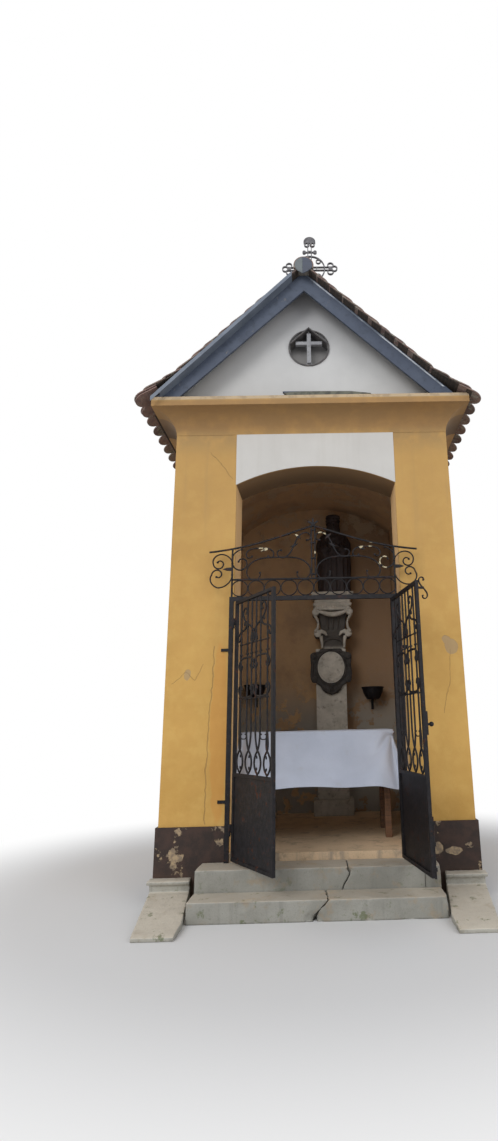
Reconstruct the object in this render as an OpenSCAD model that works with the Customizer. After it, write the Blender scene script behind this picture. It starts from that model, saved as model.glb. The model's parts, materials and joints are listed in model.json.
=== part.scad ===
// Wayside shrine: a small open chapel of plastered masonry with a tiled gable roof and wrought gates.
// Millimetres. X runs to the right, Y runs from the front wall to the back, Z is up.
// The origin is on the ground, under the middle of the front wall, in the plane of its face.

/* [Walls] */
// Width of the chapel over the side walls
wall_w = 2490; // [2300:10:2700]
// Depth of the chapel from front wall to back wall
wall_d = 2400; // [2200:10:2900]
// Thickness of the front wall and its piers
front_t = 380; // [330:5:420]
// Thickness of a side wall
side_t = 345; // [250:5:380]
// Thickness of the back wall
back_t = 380; // [250:5:450]
// Height of the masonry up to the top of the cornice
wall_h = 4155; // [4100:5:4300]

/* [Doorway] */
// Width of the doorway between the piers
door_w = 1435; // [1380:5:1480]
// How far the doorway sits to the right of the wall's middle
door_off = 30; // [0:5:40]
// Height of the springing of the front arch
spring_h = 3390; // [3250:5:3420]
// Rise of the front arch over its springing
arch_rise = 170; // [120:5:220]
// Height of the top edge of the white panel over the arch
panel_top_h = 3885; // [3780:5:3900]

/* [Vault] */
// Height of the springing of the inner vault
vault_spring_h = 3560; // [3480:5:3580]
// Rise of the inner vault
vault_rise = 330; // [280:5:380]
// Thickness of the vault shell
vault_t = 120; // [80:5:140]

/* [Base] */
// Height of the floor over the lowest ground
floor_h = 333; // [310:1:350]
// How far the floor slab stands out in front of the wall
floor_lip = 56; // [45:1:60]
// Height of the dark plinth band
plinth_h = 525; // [430:5:600]
// How far the plinth band stands out of the wall
plinth_out = 18; // [10:1:25]

/* [Steps] */
// Width of the two steps
step_w = 1770; // [1600:10:1790]
// Height of the lower step
step_low_h = 133; // [110:1:145]
// Height of the upper step
step_up_h = 277; // [260:1:290]
// Front edge of the lower step, ahead of the wall
step_low_y = 565; // [520:5:620]
// Front edge of the upper step, ahead of the wall
step_up_y = 316; // [290:2:340]
// Length of the separate block at the right end of the upper step
end_block_w = 110; // [80:5:140]
// Height of the sloping edge slabs at the wall
edge_slab_h = 172; // [150:1:185]
// Length of the sloping edge slabs, ahead of the wall
edge_slab_y = 870; // [700:10:950]

/* [Cornice] */
// How far the cornice stands out of the front and back
cornice_front = 225; // [180:5:240]
// How far the cornice stands out of the sides
cornice_side = 185; // [150:5:195]
// Height of the cornice's upright face
fascia_h = 86; // [60:2:100]

/* [Roof] */
// Rise of the roof's tile surface from the cornice to the ridge
roof_rise = 1389; // [1370:1:1405]
// How far the ridge stands to the left of the walls' middle
ridge_left = 50; // [40:1:60]
// Distance from the ridge to where the slope turns flatter
kick_x = 1175; // [1140:5:1190]
// Half span of the eaves over the tips of the lowest tiles
eave_x = 1565; // [1545:5:1590]
// How far the roof stands out of the front and back wall
verge_out = 290; // [270:5:330]
// Slope of the main part of the roof in degrees
roof_pitch = 44.5; // [44:0.5:45]
// Slope of the foot of the roof in degrees
kick_pitch = 34; // [32:0.5:36]
// Thickness of the tile covering
tile_t = 36; // [30:1:42]
// Width of one tile
tile_w = 198; // [180:1:220]
// Length of each tile that shows in a course
tile_course = 160; // [140:5:190]
// Width of the barge boards
board_w = 150; // [130:5:160]
// Thickness of the barge boards
board_t = 25; // [18:1:30]
// Outer radius of the ridge tiles
ridge_r = 87; // [82:1:94]
// Height of the cross on the ridge
cross_h = 810; // [760:5:850]
// Span of the arms of the cross on the ridge
cross_w = 580; // [540:10:600]

/* [Gable] */
// Height of the middle of the round recess over the cornice
oculus_up = 637; // [600:5:680]
// How far the round recess sits to the left of the walls' middle
oculus_left = 15; // [0:1:30]
// Radius of the round recess
oculus_r = 185; // [170:1:195]
// Depth of the round recess
oculus_deep = 70; // [50:2:90]
// Thickness of a gable wall
gable_t = 250; // [200:5:300]

/* [Gate] */
// Height of the underside of the gate's transom
transom_h = 2300; // [2240:5:2350]
// Width of a square bar of the fixed frame
post_w = 36; // [30:1:40]
// Width of a leaf's stile
stile_w = 30; // [25:1:35]
// Depth of the frame's bars
bar_d = 25; // [22:1:27]
// Depth of the thinner bars and scrolls
thin_d = 12; // [10:1:14]
// Width of the bars and scrolls in a leaf
strand_w = 13; // [10:0.5:14]
// Top of the solid panel in a leaf
panel_h = 900; // [850:5:1000]
// Outer radius of the rings over the transom
ring_r = 72; // [66:1:76]
// Height of the overthrow's top over the transom's underside
over_h = 660; // [620:5:680]
// Half span of the overthrow
over_x = 895; // [880:5:910]
// Opening of the left leaf in the rest pose, in degrees
left_open = 56.5; // [0:0.5:120]
// Opening of the right leaf in the rest pose, in degrees
right_open = 100; // [0:0.5:120]

/* [Table] */
// Height of the table over the floor
table_h = 885; // [780:5:920]
// Width of the table top
table_w = 1360; // [1200:10:1500]
// Depth of the table top
table_d = 620; // [500:5:700]
// Distance from the front wall's inner face to the table's front edge
table_in = 30; // [10:5:60]
// Drop of the tablecloth below the table top
cloth_drop = 520; // [400:10:600]
// Thickness of the tablecloth's shell
cloth_t = 3; // [2:0.5:5]

/* [Pedestal] */
// Distance of the pedestal's middle to the right of the chapel's middle
pedestal_x = 150; // [-100:5:180]
// Height of the pedestal's top over the floor
pedestal_h = 2437; // [2300:5:2480]
// Height of the carved top part of the pedestal
capital_h = 660; // [600:5:700]
// Width of the pedestal's top slab
capital_w = 500; // [440:5:520]
// Width of the pedestal's shaft
shaft_w = 340; // [300:5:380]
// Depth of the pedestal's shaft
shaft_d = 240; // [200:5:260]
// Half width of the cartouche
cartouche_rx = 236; // [220:1:250]
// Height of the statue
statue_h = 970; // [850:5:990]
// Outer radius of a planter's rim
planter_r = 130; // [110:5:140]
// Height of a planter's bowl
planter_h = 140; // [120:5:160]

/* [Hidden] */
$fn = 32;
gap = 0.3;

iron = [0.11, 0.10, 0.12];
ochre = [0.77, 0.63, 0.35];
pale = [0.80, 0.78, 0.74];
concrete = [0.56, 0.55, 0.53];
tile_brown = [0.35, 0.29, 0.29];
board_blue = [0.24, 0.28, 0.34];
stone = [0.68, 0.66, 0.62];
wood = [0.45, 0.30, 0.20];

door_x = door_w / 2;
wall_x = wall_w / 2;
inner_x = wall_x - side_t;
inner_back = wall_d - back_t;
fascia_low = wall_h - fascia_h;
cove_low = fascia_low - cornice_front;
arch_r = (door_x * door_x + arch_rise * arch_rise) / (2 * arch_rise);
vault_r = (inner_x * inner_x + vault_rise * vault_rise) / (2 * vault_rise);

// Straight prism of an outline drawn in X and Z, from y0 back to y1
module along_y(y0, y1) {
    translate([0, y1, 0])
        rotate([90, 0, 0])
            linear_extrude(y1 - y0)
                children();
}

// Straight prism of an outline drawn in Y and Z, from x0 to x1
module along_x(x0, x1) {
    translate([x0, 0, 0])
        rotate([90, 0, 90])
            linear_extrude(x1 - x0)
                children();
}

module box(x0, x1, y0, y1, z0, z1) {
    translate([x0, y0, z0])
        cube([x1 - x0, y1 - y0, z1 - z0]);
}

function ellipse(rx, rz, n) = [for (i = [0 : n - 1]) [rx * cos(360 * i / n), rz * sin(360 * i / n)]];

// Masonry
module front_pier_right() {
    color(ochre)
        box(door_off + door_x, wall_x, 0, front_t, 0, spring_h);
}

module front_pier_left() {
    color(ochre)
        box(-wall_x, door_off - door_x, 0, front_t, 0, spring_h);
}

module arch_circle() {
    translate([door_off, spring_h + arch_rise - arch_r])
        circle(r = arch_r, $fn = 160);
}

module front_head() {
    color(ochre)
        along_y(0, front_t)
            difference() {
                translate([-wall_x, spring_h])
                    square([wall_w, wall_h - spring_h]);
                arch_circle();
            }
}

// Smooth white panel over the arch, a thin coat that stands out of the wall's face
panel_t = 5;
panel_side = 4;

module head_panel() {
    color(pale)
        along_y(-panel_t - gap, -gap)
            difference() {
                translate([door_off - door_x - panel_side, spring_h])
                    square([door_w + 2 * panel_side, panel_top_h - spring_h]);
                arch_circle();
            }
}

module side_wall_right() {
    color(ochre)
        box(inner_x, wall_x, front_t, inner_back, 0, wall_h);
}

module side_wall_left() {
    color(ochre)
        box(-wall_x, -inner_x, front_t, inner_back, 0, wall_h);
}

module back_wall() {
    color(ochre)
        box(-wall_x, wall_x, inner_back, wall_d, 0, wall_h);
}

module vault() {
    middle = vault_spring_h + vault_rise - vault_r;
    color(ochre)
        along_y(front_t, inner_back)
            intersection() {
                difference() {
                    translate([0, middle])
                        circle(r = vault_r + vault_t, $fn = 128);
                    translate([0, middle])
                        circle(r = vault_r, $fn = 128);
                }
                translate([-inner_x, vault_spring_h])
                    square([2 * inner_x, vault_rise + 2 * vault_t]);
            }
}

// Dark painted band round the foot of the walls, open at the doorway
module plinth() {
    open_x = door_x + plinth_out;
    color([0.24, 0.18, 0.15])
        difference() {
            box(-wall_x - plinth_out, wall_x + plinth_out, -plinth_out, wall_d + plinth_out, 0, plinth_h);
            box(-wall_x, wall_x, 0, wall_d, -1, plinth_h + 1);
            box(door_off - open_x, door_off + open_x, -plinth_out - 1, 1, -1, plinth_h + 1);
        }
}

module floor_slab() {
    color([0.62, 0.52, 0.42])
        union() {
            box(door_off - door_x, door_off + door_x, -floor_lip, front_t + 1, 0, floor_h);
            box(-inner_x, inner_x, front_t, inner_back, 0, floor_h);
        }
}

// Roof: one outline of the slope, drawn from the ridge, serves the tiles, gables, cornice and boards
ridge_h = wall_h + roof_rise;
kick_h = ridge_h - kick_x * tan(roof_pitch);
tile_v = tile_t / cos(roof_pitch);
kick_v = tile_t / cos(kick_pitch);
under_kick_x = kick_x - (tile_v - kick_v) / (tan(roof_pitch) - tan(kick_pitch));
roof_y0 = -verge_out;
roof_y1 = wall_d + verge_out;

function top_z(x) = x < kick_x ? ridge_h - x * tan(roof_pitch) : kick_h - (x - kick_x) * tan(kick_pitch);
function under_z(x) = x < under_kick_x
    ? ridge_h - tile_v - x * tan(roof_pitch)
    : kick_h - kick_v - (x - kick_x) * tan(kick_pitch);

// Region under the tiles, down to below the cornice
module under_roof() {
    far = eave_x + ridge_left;
    low = cove_low - fascia_h;
    translate([-ridge_left, 0])
        polygon([
            [-far, low], [far, low], [far, under_z(far) - gap], [under_kick_x, under_z(under_kick_x) - gap],
            [0, under_z(0) - gap], [-under_kick_x, under_z(under_kick_x) - gap], [-far, under_z(far) - gap]
        ]);
}

// Region over the tiles, up to the given height above the ridge
module over_roof(high) {
    translate([-ridge_left, 0])
        polygon([
            [-kick_x, ridge_h + high], [-kick_x, kick_h + gap], [0, ridge_h + gap],
            [kick_x, kick_h + gap], [kick_x, ridge_h + high]
        ]);
}

// Outline of the cornice across the building: half is the wall's half width, out the cornice's projection
module cove_profile(half, out) {
    difference() {
        translate([-half - out, fascia_low - out])
            square([2 * (half + out), fascia_h + out]);
        for (s = [-1, 1])
            translate([s * (half + out), fascia_low - out])
                circle(r = out, $fn = 72);
    }
}

// A bed of plaster closes the gap between the cornice's top and the tiles along both eaves
bed_in = 10;
bed_w = 135;

module cornice() {
    panel_half = door_x + panel_side + gap;
    color(ochre)
        union() {
            difference() {
                intersection() {
                    along_x(-2 * wall_w, 2 * wall_w)
                        translate([wall_d / 2, 0])
                            cove_profile(wall_d / 2, cornice_front);
                    along_y(-wall_d, 2 * wall_d)
                        cove_profile(wall_x, cornice_side);
                    along_y(-wall_d, 2 * wall_d)
                        under_roof();
                }
                box(-wall_x, wall_x, 0, wall_d, cove_low - 1, wall_h + 1);
                box(door_off - panel_half, door_off + panel_half, -panel_t - 2 * gap, 1,
                    cove_low - 1, panel_top_h + gap);
            }
            for (s = [-1, 1])
                intersection() {
                    translate([s * (wall_x + bed_in + bed_w / 2), 0, 0])
                        box(-bed_w / 2, bed_w / 2, 0, wall_d, wall_h - 2, ridge_h);
                    along_y(-1, wall_d + 1)
                        under_roof();
                }
        }
}

// Gables
oculus_h = wall_h + oculus_up;

module gable_outline() {
    intersection() {
        translate([-wall_x, wall_h])
            square([wall_w, roof_rise]);
        under_roof();
    }
}

module gable_front() {
    color(pale)
        difference() {
            along_y(0, gable_t)
                gable_outline();
            translate([-oculus_left, oculus_deep, oculus_h])
                rotate([90, 0, 0])
                    cylinder(h = oculus_deep + 1, r = oculus_r, $fn = 64);
        }
}

module gable_back() {
    color(pale)
        along_y(wall_d - gable_t, wall_d)
            gable_outline();
}

// Plain light cross that stands in the round recess, on a small block
bar_w = 38;
bar_out = 20;
bar_back = 15;
arm_up = 46;
foot_w = 56;

module oculus_cross() {
    color([0.75, 0.75, 0.74])
        translate([-oculus_left, 0, oculus_h])
            union() {
                box(-bar_w / 2, bar_w / 2, -bar_out, bar_back, -oculus_r * 0.92, oculus_r * 0.82);
                box(-oculus_r * 0.69, oculus_r * 0.69, -bar_out + 2, bar_back - 2,
                    arm_up - bar_w * 0.45, arm_up + bar_w * 0.45);
                intersection() {
                    box(-foot_w / 2, foot_w / 2, 1, oculus_deep - gap, -oculus_r, -oculus_r * 0.86);
                    rotate([-90, 0, 0])
                        cylinder(h = oculus_deep, r = oculus_r - gap, $fn = 64);
                }
            }
}

// Thin rim round the recess, and a small gabled sheet metal roof over the cross
rim_w = 12;
rim_out = 12;
hood_out = 45;
hood_t = 10;
hood_pitch = 44;
hood_top = oculus_r + 20;
hood_reach = oculus_r * 0.94;

// Outline of the small roof: two thin sheets that meet at the top
module hood_sheets() {
    drop = hood_t / cos(hood_pitch);
    low = hood_top - hood_reach * tan(hood_pitch);
    polygon([
        [0, hood_top], [hood_reach, low], [hood_reach, low - drop], [0, hood_top - drop],
        [-hood_reach, low - drop], [-hood_reach, low]
    ]);
}

module oculus_hood() {
    color([0.22, 0.22, 0.23])
        translate([-oculus_left, 0, oculus_h])
            union() {
                along_y(-rim_out - gap, -gap)
                    difference() {
                        circle(r = oculus_r + rim_w, $fn = 64);
                        circle(r = oculus_r, $fn = 64);
                    }
                along_y(-hood_out, -gap)
                    hood_sheets();
                intersection() {
                    along_y(-rim_out, oculus_deep - gap)
                        hood_sheets();
                    rotate([-90, 0, 0])
                        cylinder(h = 4 * oculus_deep, r = oculus_r - gap, center = true, $fn = 64);
                }
            }
}

// Steps
module step_lower() {
    color(concrete)
        box(-step_w / 2, step_w / 2, -step_low_y, -step_up_y, 0, step_low_h);
}

module step_upper() {
    color(concrete)
        box(-step_w / 2, step_w / 2 - end_block_w, -step_up_y, -floor_lip, 0, step_up_h);
}

module step_end_block() {
    color(concrete)
        box(step_w / 2 - end_block_w + gap, step_w / 2 + 6, -step_up_y + 4, -floor_lip, 0, step_up_h - 4);
}

// Sloping slab beside the steps, set a little askew, with a flat cap against the plinth
cap_y = 121;
cap_t = 26;
cap_over = 22;
slab_skew = 0.135;
slab_w = 300;

module edge_slab() {
    x0 = step_w / 2 + 14 + (step_low_y - plinth_out) * slab_skew;
    y1 = -plinth_out - gap;
    y0 = -edge_slab_y;
    under = y1 - cap_y + cap_over;
    low_h = edge_slab_h * 0.55;
    color(concrete)
        union() {
            intersection() {
                along_x(step_w / 2, 2 * wall_x)
                    polygon([
                        [y0, 0], [y1, 0], [y1, edge_slab_h - cap_t + 1], [under, edge_slab_h - cap_t + 1],
                        [under - 6, low_h], [y0 + 40, 34], [y0, 24]
                    ]);
                linear_extrude(edge_slab_h)
                    polygon([
                        [x0 + y0 * slab_skew, y0], [x0 + y0 * slab_skew + slab_w, y0],
                        [x0 + slab_w, y1], [x0, y1]
                    ]);
            }
            translate([0, 0, edge_slab_h - cap_t])
                linear_extrude(cap_t)
                    polygon([
                        [x0 - cap_y * slab_skew - 2, y1 - cap_y], [x0 + slab_w + 4, y1 - cap_y],
                        [x0 + slab_w + 10, y1], [x0 - 2, y1]
                    ]);
        }
}

module edge_slab_right() {
    edge_slab();
}

module edge_slab_left() {
    mirror([1, 0, 0])
        edge_slab();
}

// Tiles: the courses make a stepped outline, and the lowest course ends in round tips
step_t = tile_t * 0.4;
main_courses = round(kick_x / cos(roof_pitch) / tile_course);
tip_r = tile_w / 2;
tile_count = round((roof_y1 - roof_y0) / tile_w);
tile_pitch = (roof_y1 - roof_y0) / tile_count;
tip_steps = 10;
eave_lift = 1;
tip_back = tip_r * cos(kick_pitch);
foot_courses = round((eave_x - tip_back - kick_x) / cos(kick_pitch) / tile_course);

// Place of a course's lower edge, for a slope whose tips reach the given distance from the ridge
function course_x(i, reach) = i <= main_courses
    ? kick_x * i / main_courses
    : kick_x + (reach - tip_back - kick_x) * (i - main_courses) / foot_courses;

// Round tips of the lowest tiles in plan: [distance up the slope from the tip, place along the eave]
tip_line = concat(
    [for (i = [0 : tile_count - 1], k = [0 : tip_steps - 1])
        let (a = 180 * k / tip_steps)
            [tip_r * 0.85 * (sin(a) - 1), roof_y0 + tile_pitch * (i + 0.5 - 0.5 * cos(a))]],
    [[-tip_r * 0.85, roof_y1]]
);

// A slope drawn to the right of the ridge; its tips reach the given distance from the ridge
module roof_slope(reach) {
    n = main_courses + foot_courses;
    foot_x = reach - tip_back;
    union() {
        along_y(roof_y0, roof_y1)
            polygon(concat(
                [[gap, under_z(0)]],
                [for (i = [0 : n - 1], k = [0, 1])
                    [max(gap, course_x(i + k, reach)), top_z(course_x(i + k, reach)) - (1 - k) * step_t]],
                [[foot_x, under_z(foot_x)], [under_kick_x, under_z(under_kick_x)]]
            ));
        translate([reach, 0, under_z(reach)])
            rotate([0, kick_pitch, 0])
                translate([0, 0, eave_lift])
                    linear_extrude(tile_t - step_t - eave_lift)
                        polygon(concat(
                            tip_line, [[-tile_course - tip_r, roof_y1], [-tile_course - tip_r, roof_y0]]));
    }
}

// The eaves lie half as far to the left as the ridge, so the right slope is the longer one
module roof_right() {
    color(tile_brown)
        translate([-ridge_left, 0, 0])
            roof_slope(eave_x + ridge_left / 2);
}

module roof_left() {
    color(tile_brown)
        translate([-ridge_left, 0, 0])
            mirror([1, 0, 0])
                roof_slope(eave_x - ridge_left / 2);
}

// Round ridge tiles, each with a raised collar where it laps the next
ridge_mid = ridge_h - ridge_r * 0.67;
ridge_count = 8;
ridge_out = 12;
ridge_y0 = roof_y0 - ridge_out;
ridge_pitch = (roof_y1 - roof_y0 + 2 * ridge_out) / ridge_count;
collar_w = 55;
collar_t = 9;

module ridge_tiles() {
    y1 = ridge_y0 + ridge_pitch * ridge_count;
    color(tile_brown)
        intersection() {
            translate([-ridge_left, 0, ridge_mid])
                difference() {
                    union() {
                        along_y(ridge_y0, y1)
                            circle(r = ridge_r);
                        for (i = [0 : ridge_count - 1])
                            along_y(ridge_y0 + ridge_pitch * i, ridge_y0 + ridge_pitch * i + collar_w)
                                circle(r = ridge_r + collar_t);
                    }
                    along_y(ridge_y0 - 1, y1 + 1)
                        circle(r = ridge_r - step_t);
                }
            along_y(ridge_y0 - 2, y1 + 2)
                over_roof(2 * ridge_r);
        }
}

// Boards under the verge, cut level at the foot where they stand on the cornice
board_front = 205;
board_reveal = 2;

module barge_outline(top, low, width) {
    reach = (top - low) / tan(roof_pitch);
    polygon([
        [0, top], [reach, low], [reach - width / sin(roof_pitch), low], [0, top - width / cos(roof_pitch)]
    ]);
}

module barge_pair(y0) {
    translate([-ridge_left, 0, 0])
        union() {
            for (s = [0, 1])
                mirror([s, 0, 0])
                    along_y(y0, y0 + board_t)
                        barge_outline(under_z(0) - board_reveal, wall_h + gap, board_w);
        }
}

// The front boards, and a thin slat that lies on the cornice's front edge
slat_x0 = -255;
slat_x1 = 545;
slat_h = 42;
slat_d = 38;

module barge_boards_front() {
    color(board_blue) {
        barge_pair(-board_front);
        translate([0, 0, wall_h + gap])
            along_y(-cornice_front + 5, -cornice_front + 5 + slat_d)
                polygon([
                    [slat_x0 + slat_h, 0], [slat_x1, 0], [slat_x1, slat_h * 0.3],
                    [slat_x1 - 190, slat_h * 0.85], [slat_x0, slat_h]
                ]);
    }
}

module barge_boards_back() {
    color(board_blue)
        barge_pair(wall_d + board_front - board_t);
}

// Sheet metal over the left verge's tile ends, folded back to the board under them, and a thin strip
// along the right board
strip_t = 3;
strip_x0 = 112;
strip_x1 = 1370;
strip_face = 46;
strip_top = 10;
strip_foot = 75;
thin_strip_w = 12;
thin_strip_in = 14;

module verge_strips() {
    y1 = roof_y0 - gap;
    y2 = -board_front - gap;
    fall = tan(roof_pitch) + (strip_foot - strip_top) / (strip_x1 - strip_x0);
    z0 = top_z(strip_x0) - strip_top;
    z1 = z0 - (strip_x1 - strip_x0) * fall;
    fold_x = strip_x0 + (z0 - strip_face - wall_h - 2) / fall;
    fold_z = z0 - strip_face - (fold_x - strip_x0) * fall;
    color([0.62, 0.64, 0.66])
        translate([-ridge_left, 0, 0]) {
            mirror([1, 0, 0])
                union() {
                    along_y(y1 - strip_t, y1)
                        polygon([
                            [strip_x0, z0], [strip_x1, z1],
                            [strip_x1, z1 - strip_face], [strip_x0, z0 - strip_face]
                        ]);
                    along_y(y1 - 1, y2)
                        polygon([
                            [strip_x0, z0 - strip_face + strip_t], [fold_x, fold_z + strip_t],
                            [fold_x, fold_z], [strip_x0, z0 - strip_face]
                        ]);
                }
            along_y(y2 - strip_t, y2)
                barge_outline(
                    under_z(0) - board_reveal - thin_strip_in, wall_h + strip_foot, thin_strip_w);
        }
}

// Open cast cross: two arms and a head of thin double bars with lobed ends, and a ring round the crossing
arm_w = cross_w * 0.08;
cast_d = 22;
cast_w = 9;
cross_y = ridge_y0 + ridge_pitch * 1.6;
cross_mid = cross_h * 0.5;
lobe_r = cross_w * 0.06;
dome_r = cross_w * 0.11;
ring_reach = cross_w * 0.28;
shoe_h = 24;
shoe_in = 12;

module cast_bar(x0, x1, z0, z1) {
    translate([x0, z0, 0])
        cube([x1 - x0, z1 - z0, cast_d]);
}

module cast_disc(x, z, r) {
    translate([x, z, 0])
        cylinder(h = cast_d, r = r);
}

module cast_ring(x, z, r, inset = 0) {
    difference() {
        translate([x, z, inset])
            cylinder(h = cast_d - 2 * inset, r = r);
        translate([x, z, -1])
            cylinder(h = cast_d + 2, r = r - cast_w);
    }
}

// Two bars side by side with rungs, reaching out along +X from the crossing
module double_bar(reach) {
    for (s = [-1, 1])
        translate([0, s * (arm_w - cast_w) / 2, 0])
            cast_bar(0, reach, -cast_w / 2, cast_w / 2);
    for (i = [1 : 3])
        cast_bar(i * reach / 3 - cast_w - 1, i * reach / 3 - 1, -arm_w / 2 + 1, arm_w / 2 - 1);
}

module cross_arm() {
    end = cross_w / 2 - 2 * lobe_r;
    double_bar(end + lobe_r * 0.5);
    cast_disc(end, 0, lobe_r * 0.6);
    for (a = [-90, 0, 90])
        translate([end, 0, 0])
            rotate(a)
                cast_ring(lobe_r * 1.15, 0, lobe_r);
}

// The head of the cross: two small side knobs, two open lobes and a solid dome
module cross_head(reach) {
    knob_x = reach * 0.51;
    double_bar(reach - dome_r);
    cast_bar(knob_x, knob_x + cast_w, -arm_w * 1.2, arm_w * 1.2);
    for (s = [-1, 1]) {
        cast_disc(knob_x + cast_w / 2, s * arm_w * 1.25, lobe_r * 0.55);
        cast_ring(reach - dome_r * 1.5, s * lobe_r * 0.85, lobe_r * 0.8);
    }
    difference() {
        cast_disc(reach - dome_r, 0, dome_r);
        translate([reach - 3 * dome_r, -dome_r - 1, -1])
            cube([dome_r * 1.8, 2 * dome_r + 2, cast_d + 2]);
    }
}

module cross_plate() {
    for (a = [0, 180])
        rotate(a)
            cross_arm();
    rotate(90)
        cross_head(cross_h - cross_mid);
    rotate(-90)
        double_bar(cross_mid);
    cast_ring(0, 0, ring_reach);
    for (a = [45 : 90 : 315])
        rotate(a)
            cast_ring(ring_reach - lobe_r * 0.95, 0, lobe_r * 0.8, 2);
}

module ridge_cross() {
    base = ridge_mid + ridge_r + gap;
    color(iron)
        difference() {
            union() {
                translate([0, cross_y + cast_d, base + cross_mid])
                    rotate([90, 0, 0])
                        union()
                            cross_plate();
                box(-arm_w / 2 - shoe_in, arm_w / 2 + shoe_in, cross_y - shoe_in, cross_y + cast_d + shoe_in,
                    ridge_mid, base + shoe_h);
            }
            translate([-ridge_left, 0, ridge_mid])
                rotate([-90, 0, 0])
                    cylinder(h = wall_d, r = ridge_r + gap, $fn = 64);
        }
}

// Curves of the wrought work: every strand is a list of points drawn with a given width
function bezier(a, b, c, d, n) = [
    for (i = [0 : n])
        let (t = i / n, u = 1 - t)
            a * (u * u * u) + b * (3 * u * u * t) + c * (3 * u * t * t) + d * (t * t * t)
];

// Points of a spiral round the middle m: radius r0 at angle a0, then r1 after turning by sweep
function spiral(m, r0, r1, a0, sweep, n) = [
    for (i = [0 : n])
        let (t = i / n, a = a0 + sweep * t, r = r0 + (r1 - r0) * t)
            [m[0] + r * cos(a), m[1] + r * sin(a)]
];

function tail(p) = [for (i = [1 : len(p) - 1]) p[i]];
function edge_dir(p, i) = p[min(i + 1, len(p) - 1)] - p[max(i - 1, 0)];
function edge_side(p, i) = let (q = edge_dir(p, i)) [-q[1], q[0]] / norm(q);

// Heading of a scroll at t from -1 to 1: the ends turn tightly, the middle is nearly straight
function heading(t, turn, kind) = t < 0 ? -kind * turn * pow(-t, 2.5) : turn * pow(t, 2.5);
function walk(i, n, turn, kind, p) = i > n ? [p] : let (h = heading((2 * i - 1 - n) / n, turn, kind))
    concat([p], walk(i + 1, n, turn, kind, p + [cos(h), sin(h)]));
function times(u, v) = [u[0] * v[0] - u[1] * v[1], u[0] * v[1] + u[1] * v[0]];

// Points of a scroll from the eye a to the eye b; kind 1 bends both ends to one side, -1 to opposite
// sides; hand 1 or -1 chooses the side
function scroll(a, b, turn, kind, hand, n) =
    let (p = walk(1, n, turn, kind, [0, 0]), e = p[len(p) - 1], f = [e[0], hand * e[1]],
        m = times(b - a, [f[0], -f[1]]) / (f * f))
    [for (q = p) a + times([q[0], hand * q[1]], m)];

// Outline of a strand of width w along the points
function strand_outline(p, w) = concat(
    [for (i = [0 : len(p) - 1]) p[i] + edge_side(p, i) * w / 2],
    [for (i = [len(p) - 1 : -1 : 0]) p[i] - edge_side(p, i) * w / 2]
);

// Flat wrought pieces: each is a plate of the thinner bars' depth, laid on the plane of X and Y
module strand(p, w) {
    linear_extrude(thin_d)
        polygon(strand_outline(p, w));
}

module plate(x0, x1, z0, z1) {
    translate([x0, z0, 0])
        cube([x1 - x0, z1 - z0, thin_d]);
}

// A leaf tip is a little thinner than the strand that carries it
blade_in = 1.5;

module blade(points) {
    translate([0, 0, blade_in])
        linear_extrude(thin_d - 2 * blade_in)
            polygon(points);
}

module ring(m, r, w) {
    translate([m[0], m[1], 0])
        difference() {
            cylinder(h = thin_d, r = r);
            translate([0, 0, -1])
                cylinder(h = thin_d + 2, r = r - w);
        }
}

// A strand with a small disc at both eyes
module eyed_strand(p, w) {
    strand(p, w);
    for (i = [0, len(p) - 1])
        translate([p[i][0], p[i][1], 0])
            cylinder(h = thin_d, r = w * 0.85, $fn = 10);
}

// Stands the flat work up, with its front face at y0
module stand_up(y0) {
    translate([0, y0 + thin_d, 0])
        rotate([90, 0, 0])
            children();
}

module both_sides() {
    children();
    mirror([1, 0, 0])
        children();
}

// Gate: the fixed frame stands on the upper step, just ahead of the floor's edge
gate_y = -floor_lip - bar_d - 14;
pin_x = door_x - 45;
pin_y = gate_y - 10;
post_in = pin_x + 5;
transom_top = transom_h + post_w;
leaf_low = step_up_h + 15;
leaf_high = transom_h - 10;
leaf_reach = pin_x - 5;
leaf_y0 = gate_y - pin_y;

knuckle_h = 60;
knuckle_r = 10;
pin_r = 6;
pin_play = 0.06;
hinge_heights = [leaf_low + 200, leaf_high - 200];
lug_heights = [transom_h * 0.3, transom_h * 0.82];

// Hook of a hinge: a boss on the post with a pin that stands up into the leaf's knuckle
module pintle() {
    boss_h = 25;
    union() {
        translate([0, 0, -boss_h])
            cylinder(h = boss_h - gap, r = knuckle_r);
        translate([0, 0, -gap - 1])
            cylinder(h = knuckle_h - 1, r = pin_r);
        box(0, 5 + knuckle_r, -5, leaf_y0 + 1, -boss_h, -gap);
    }
}

// Bent strap that ties a post to the face of the pier
module lug() {
    union() {
        box(post_in + 12, post_in + 28, bar_d - 1, -gate_y - gap, 0, 24);
        box(post_in + 12, post_in + 110, -gate_y - gap - 8, -gate_y - gap, 0, 24);
    }
}

module gate_frame() {
    color(iron)
        union() {
            for (s = [-1, 1])
                mirror([s > 0 ? 0 : 1, 0, 0])
                    union() {
                        box(post_in, post_in + post_w, gate_y, gate_y + bar_d, step_up_h, transom_top);
                        for (z = hinge_heights)
                            translate([pin_x, pin_y, z])
                                pintle();
                        for (z = lug_heights)
                            translate([0, gate_y, z])
                                lug();
                    }
            box(-post_in - 1, post_in + 1, gate_y, gate_y + bar_d, transom_h, transom_top);
        }
}

// Overthrow: a row of rings, then mirrored scrolls under a top rail that rises to the middle
rail_w = 16;
stem_w = 12;
rail_low = transom_top + gap + 2 * ring_r - 3;
apex_z = transom_h + over_h;
end_z = apex_z - over_h * 0.345;
ring_pitch = 2 * ring_r - 4;
field_low = rail_low + rail_w;
field_h = apex_z - field_low;
post_mid = post_in + post_w / 2;

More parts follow.
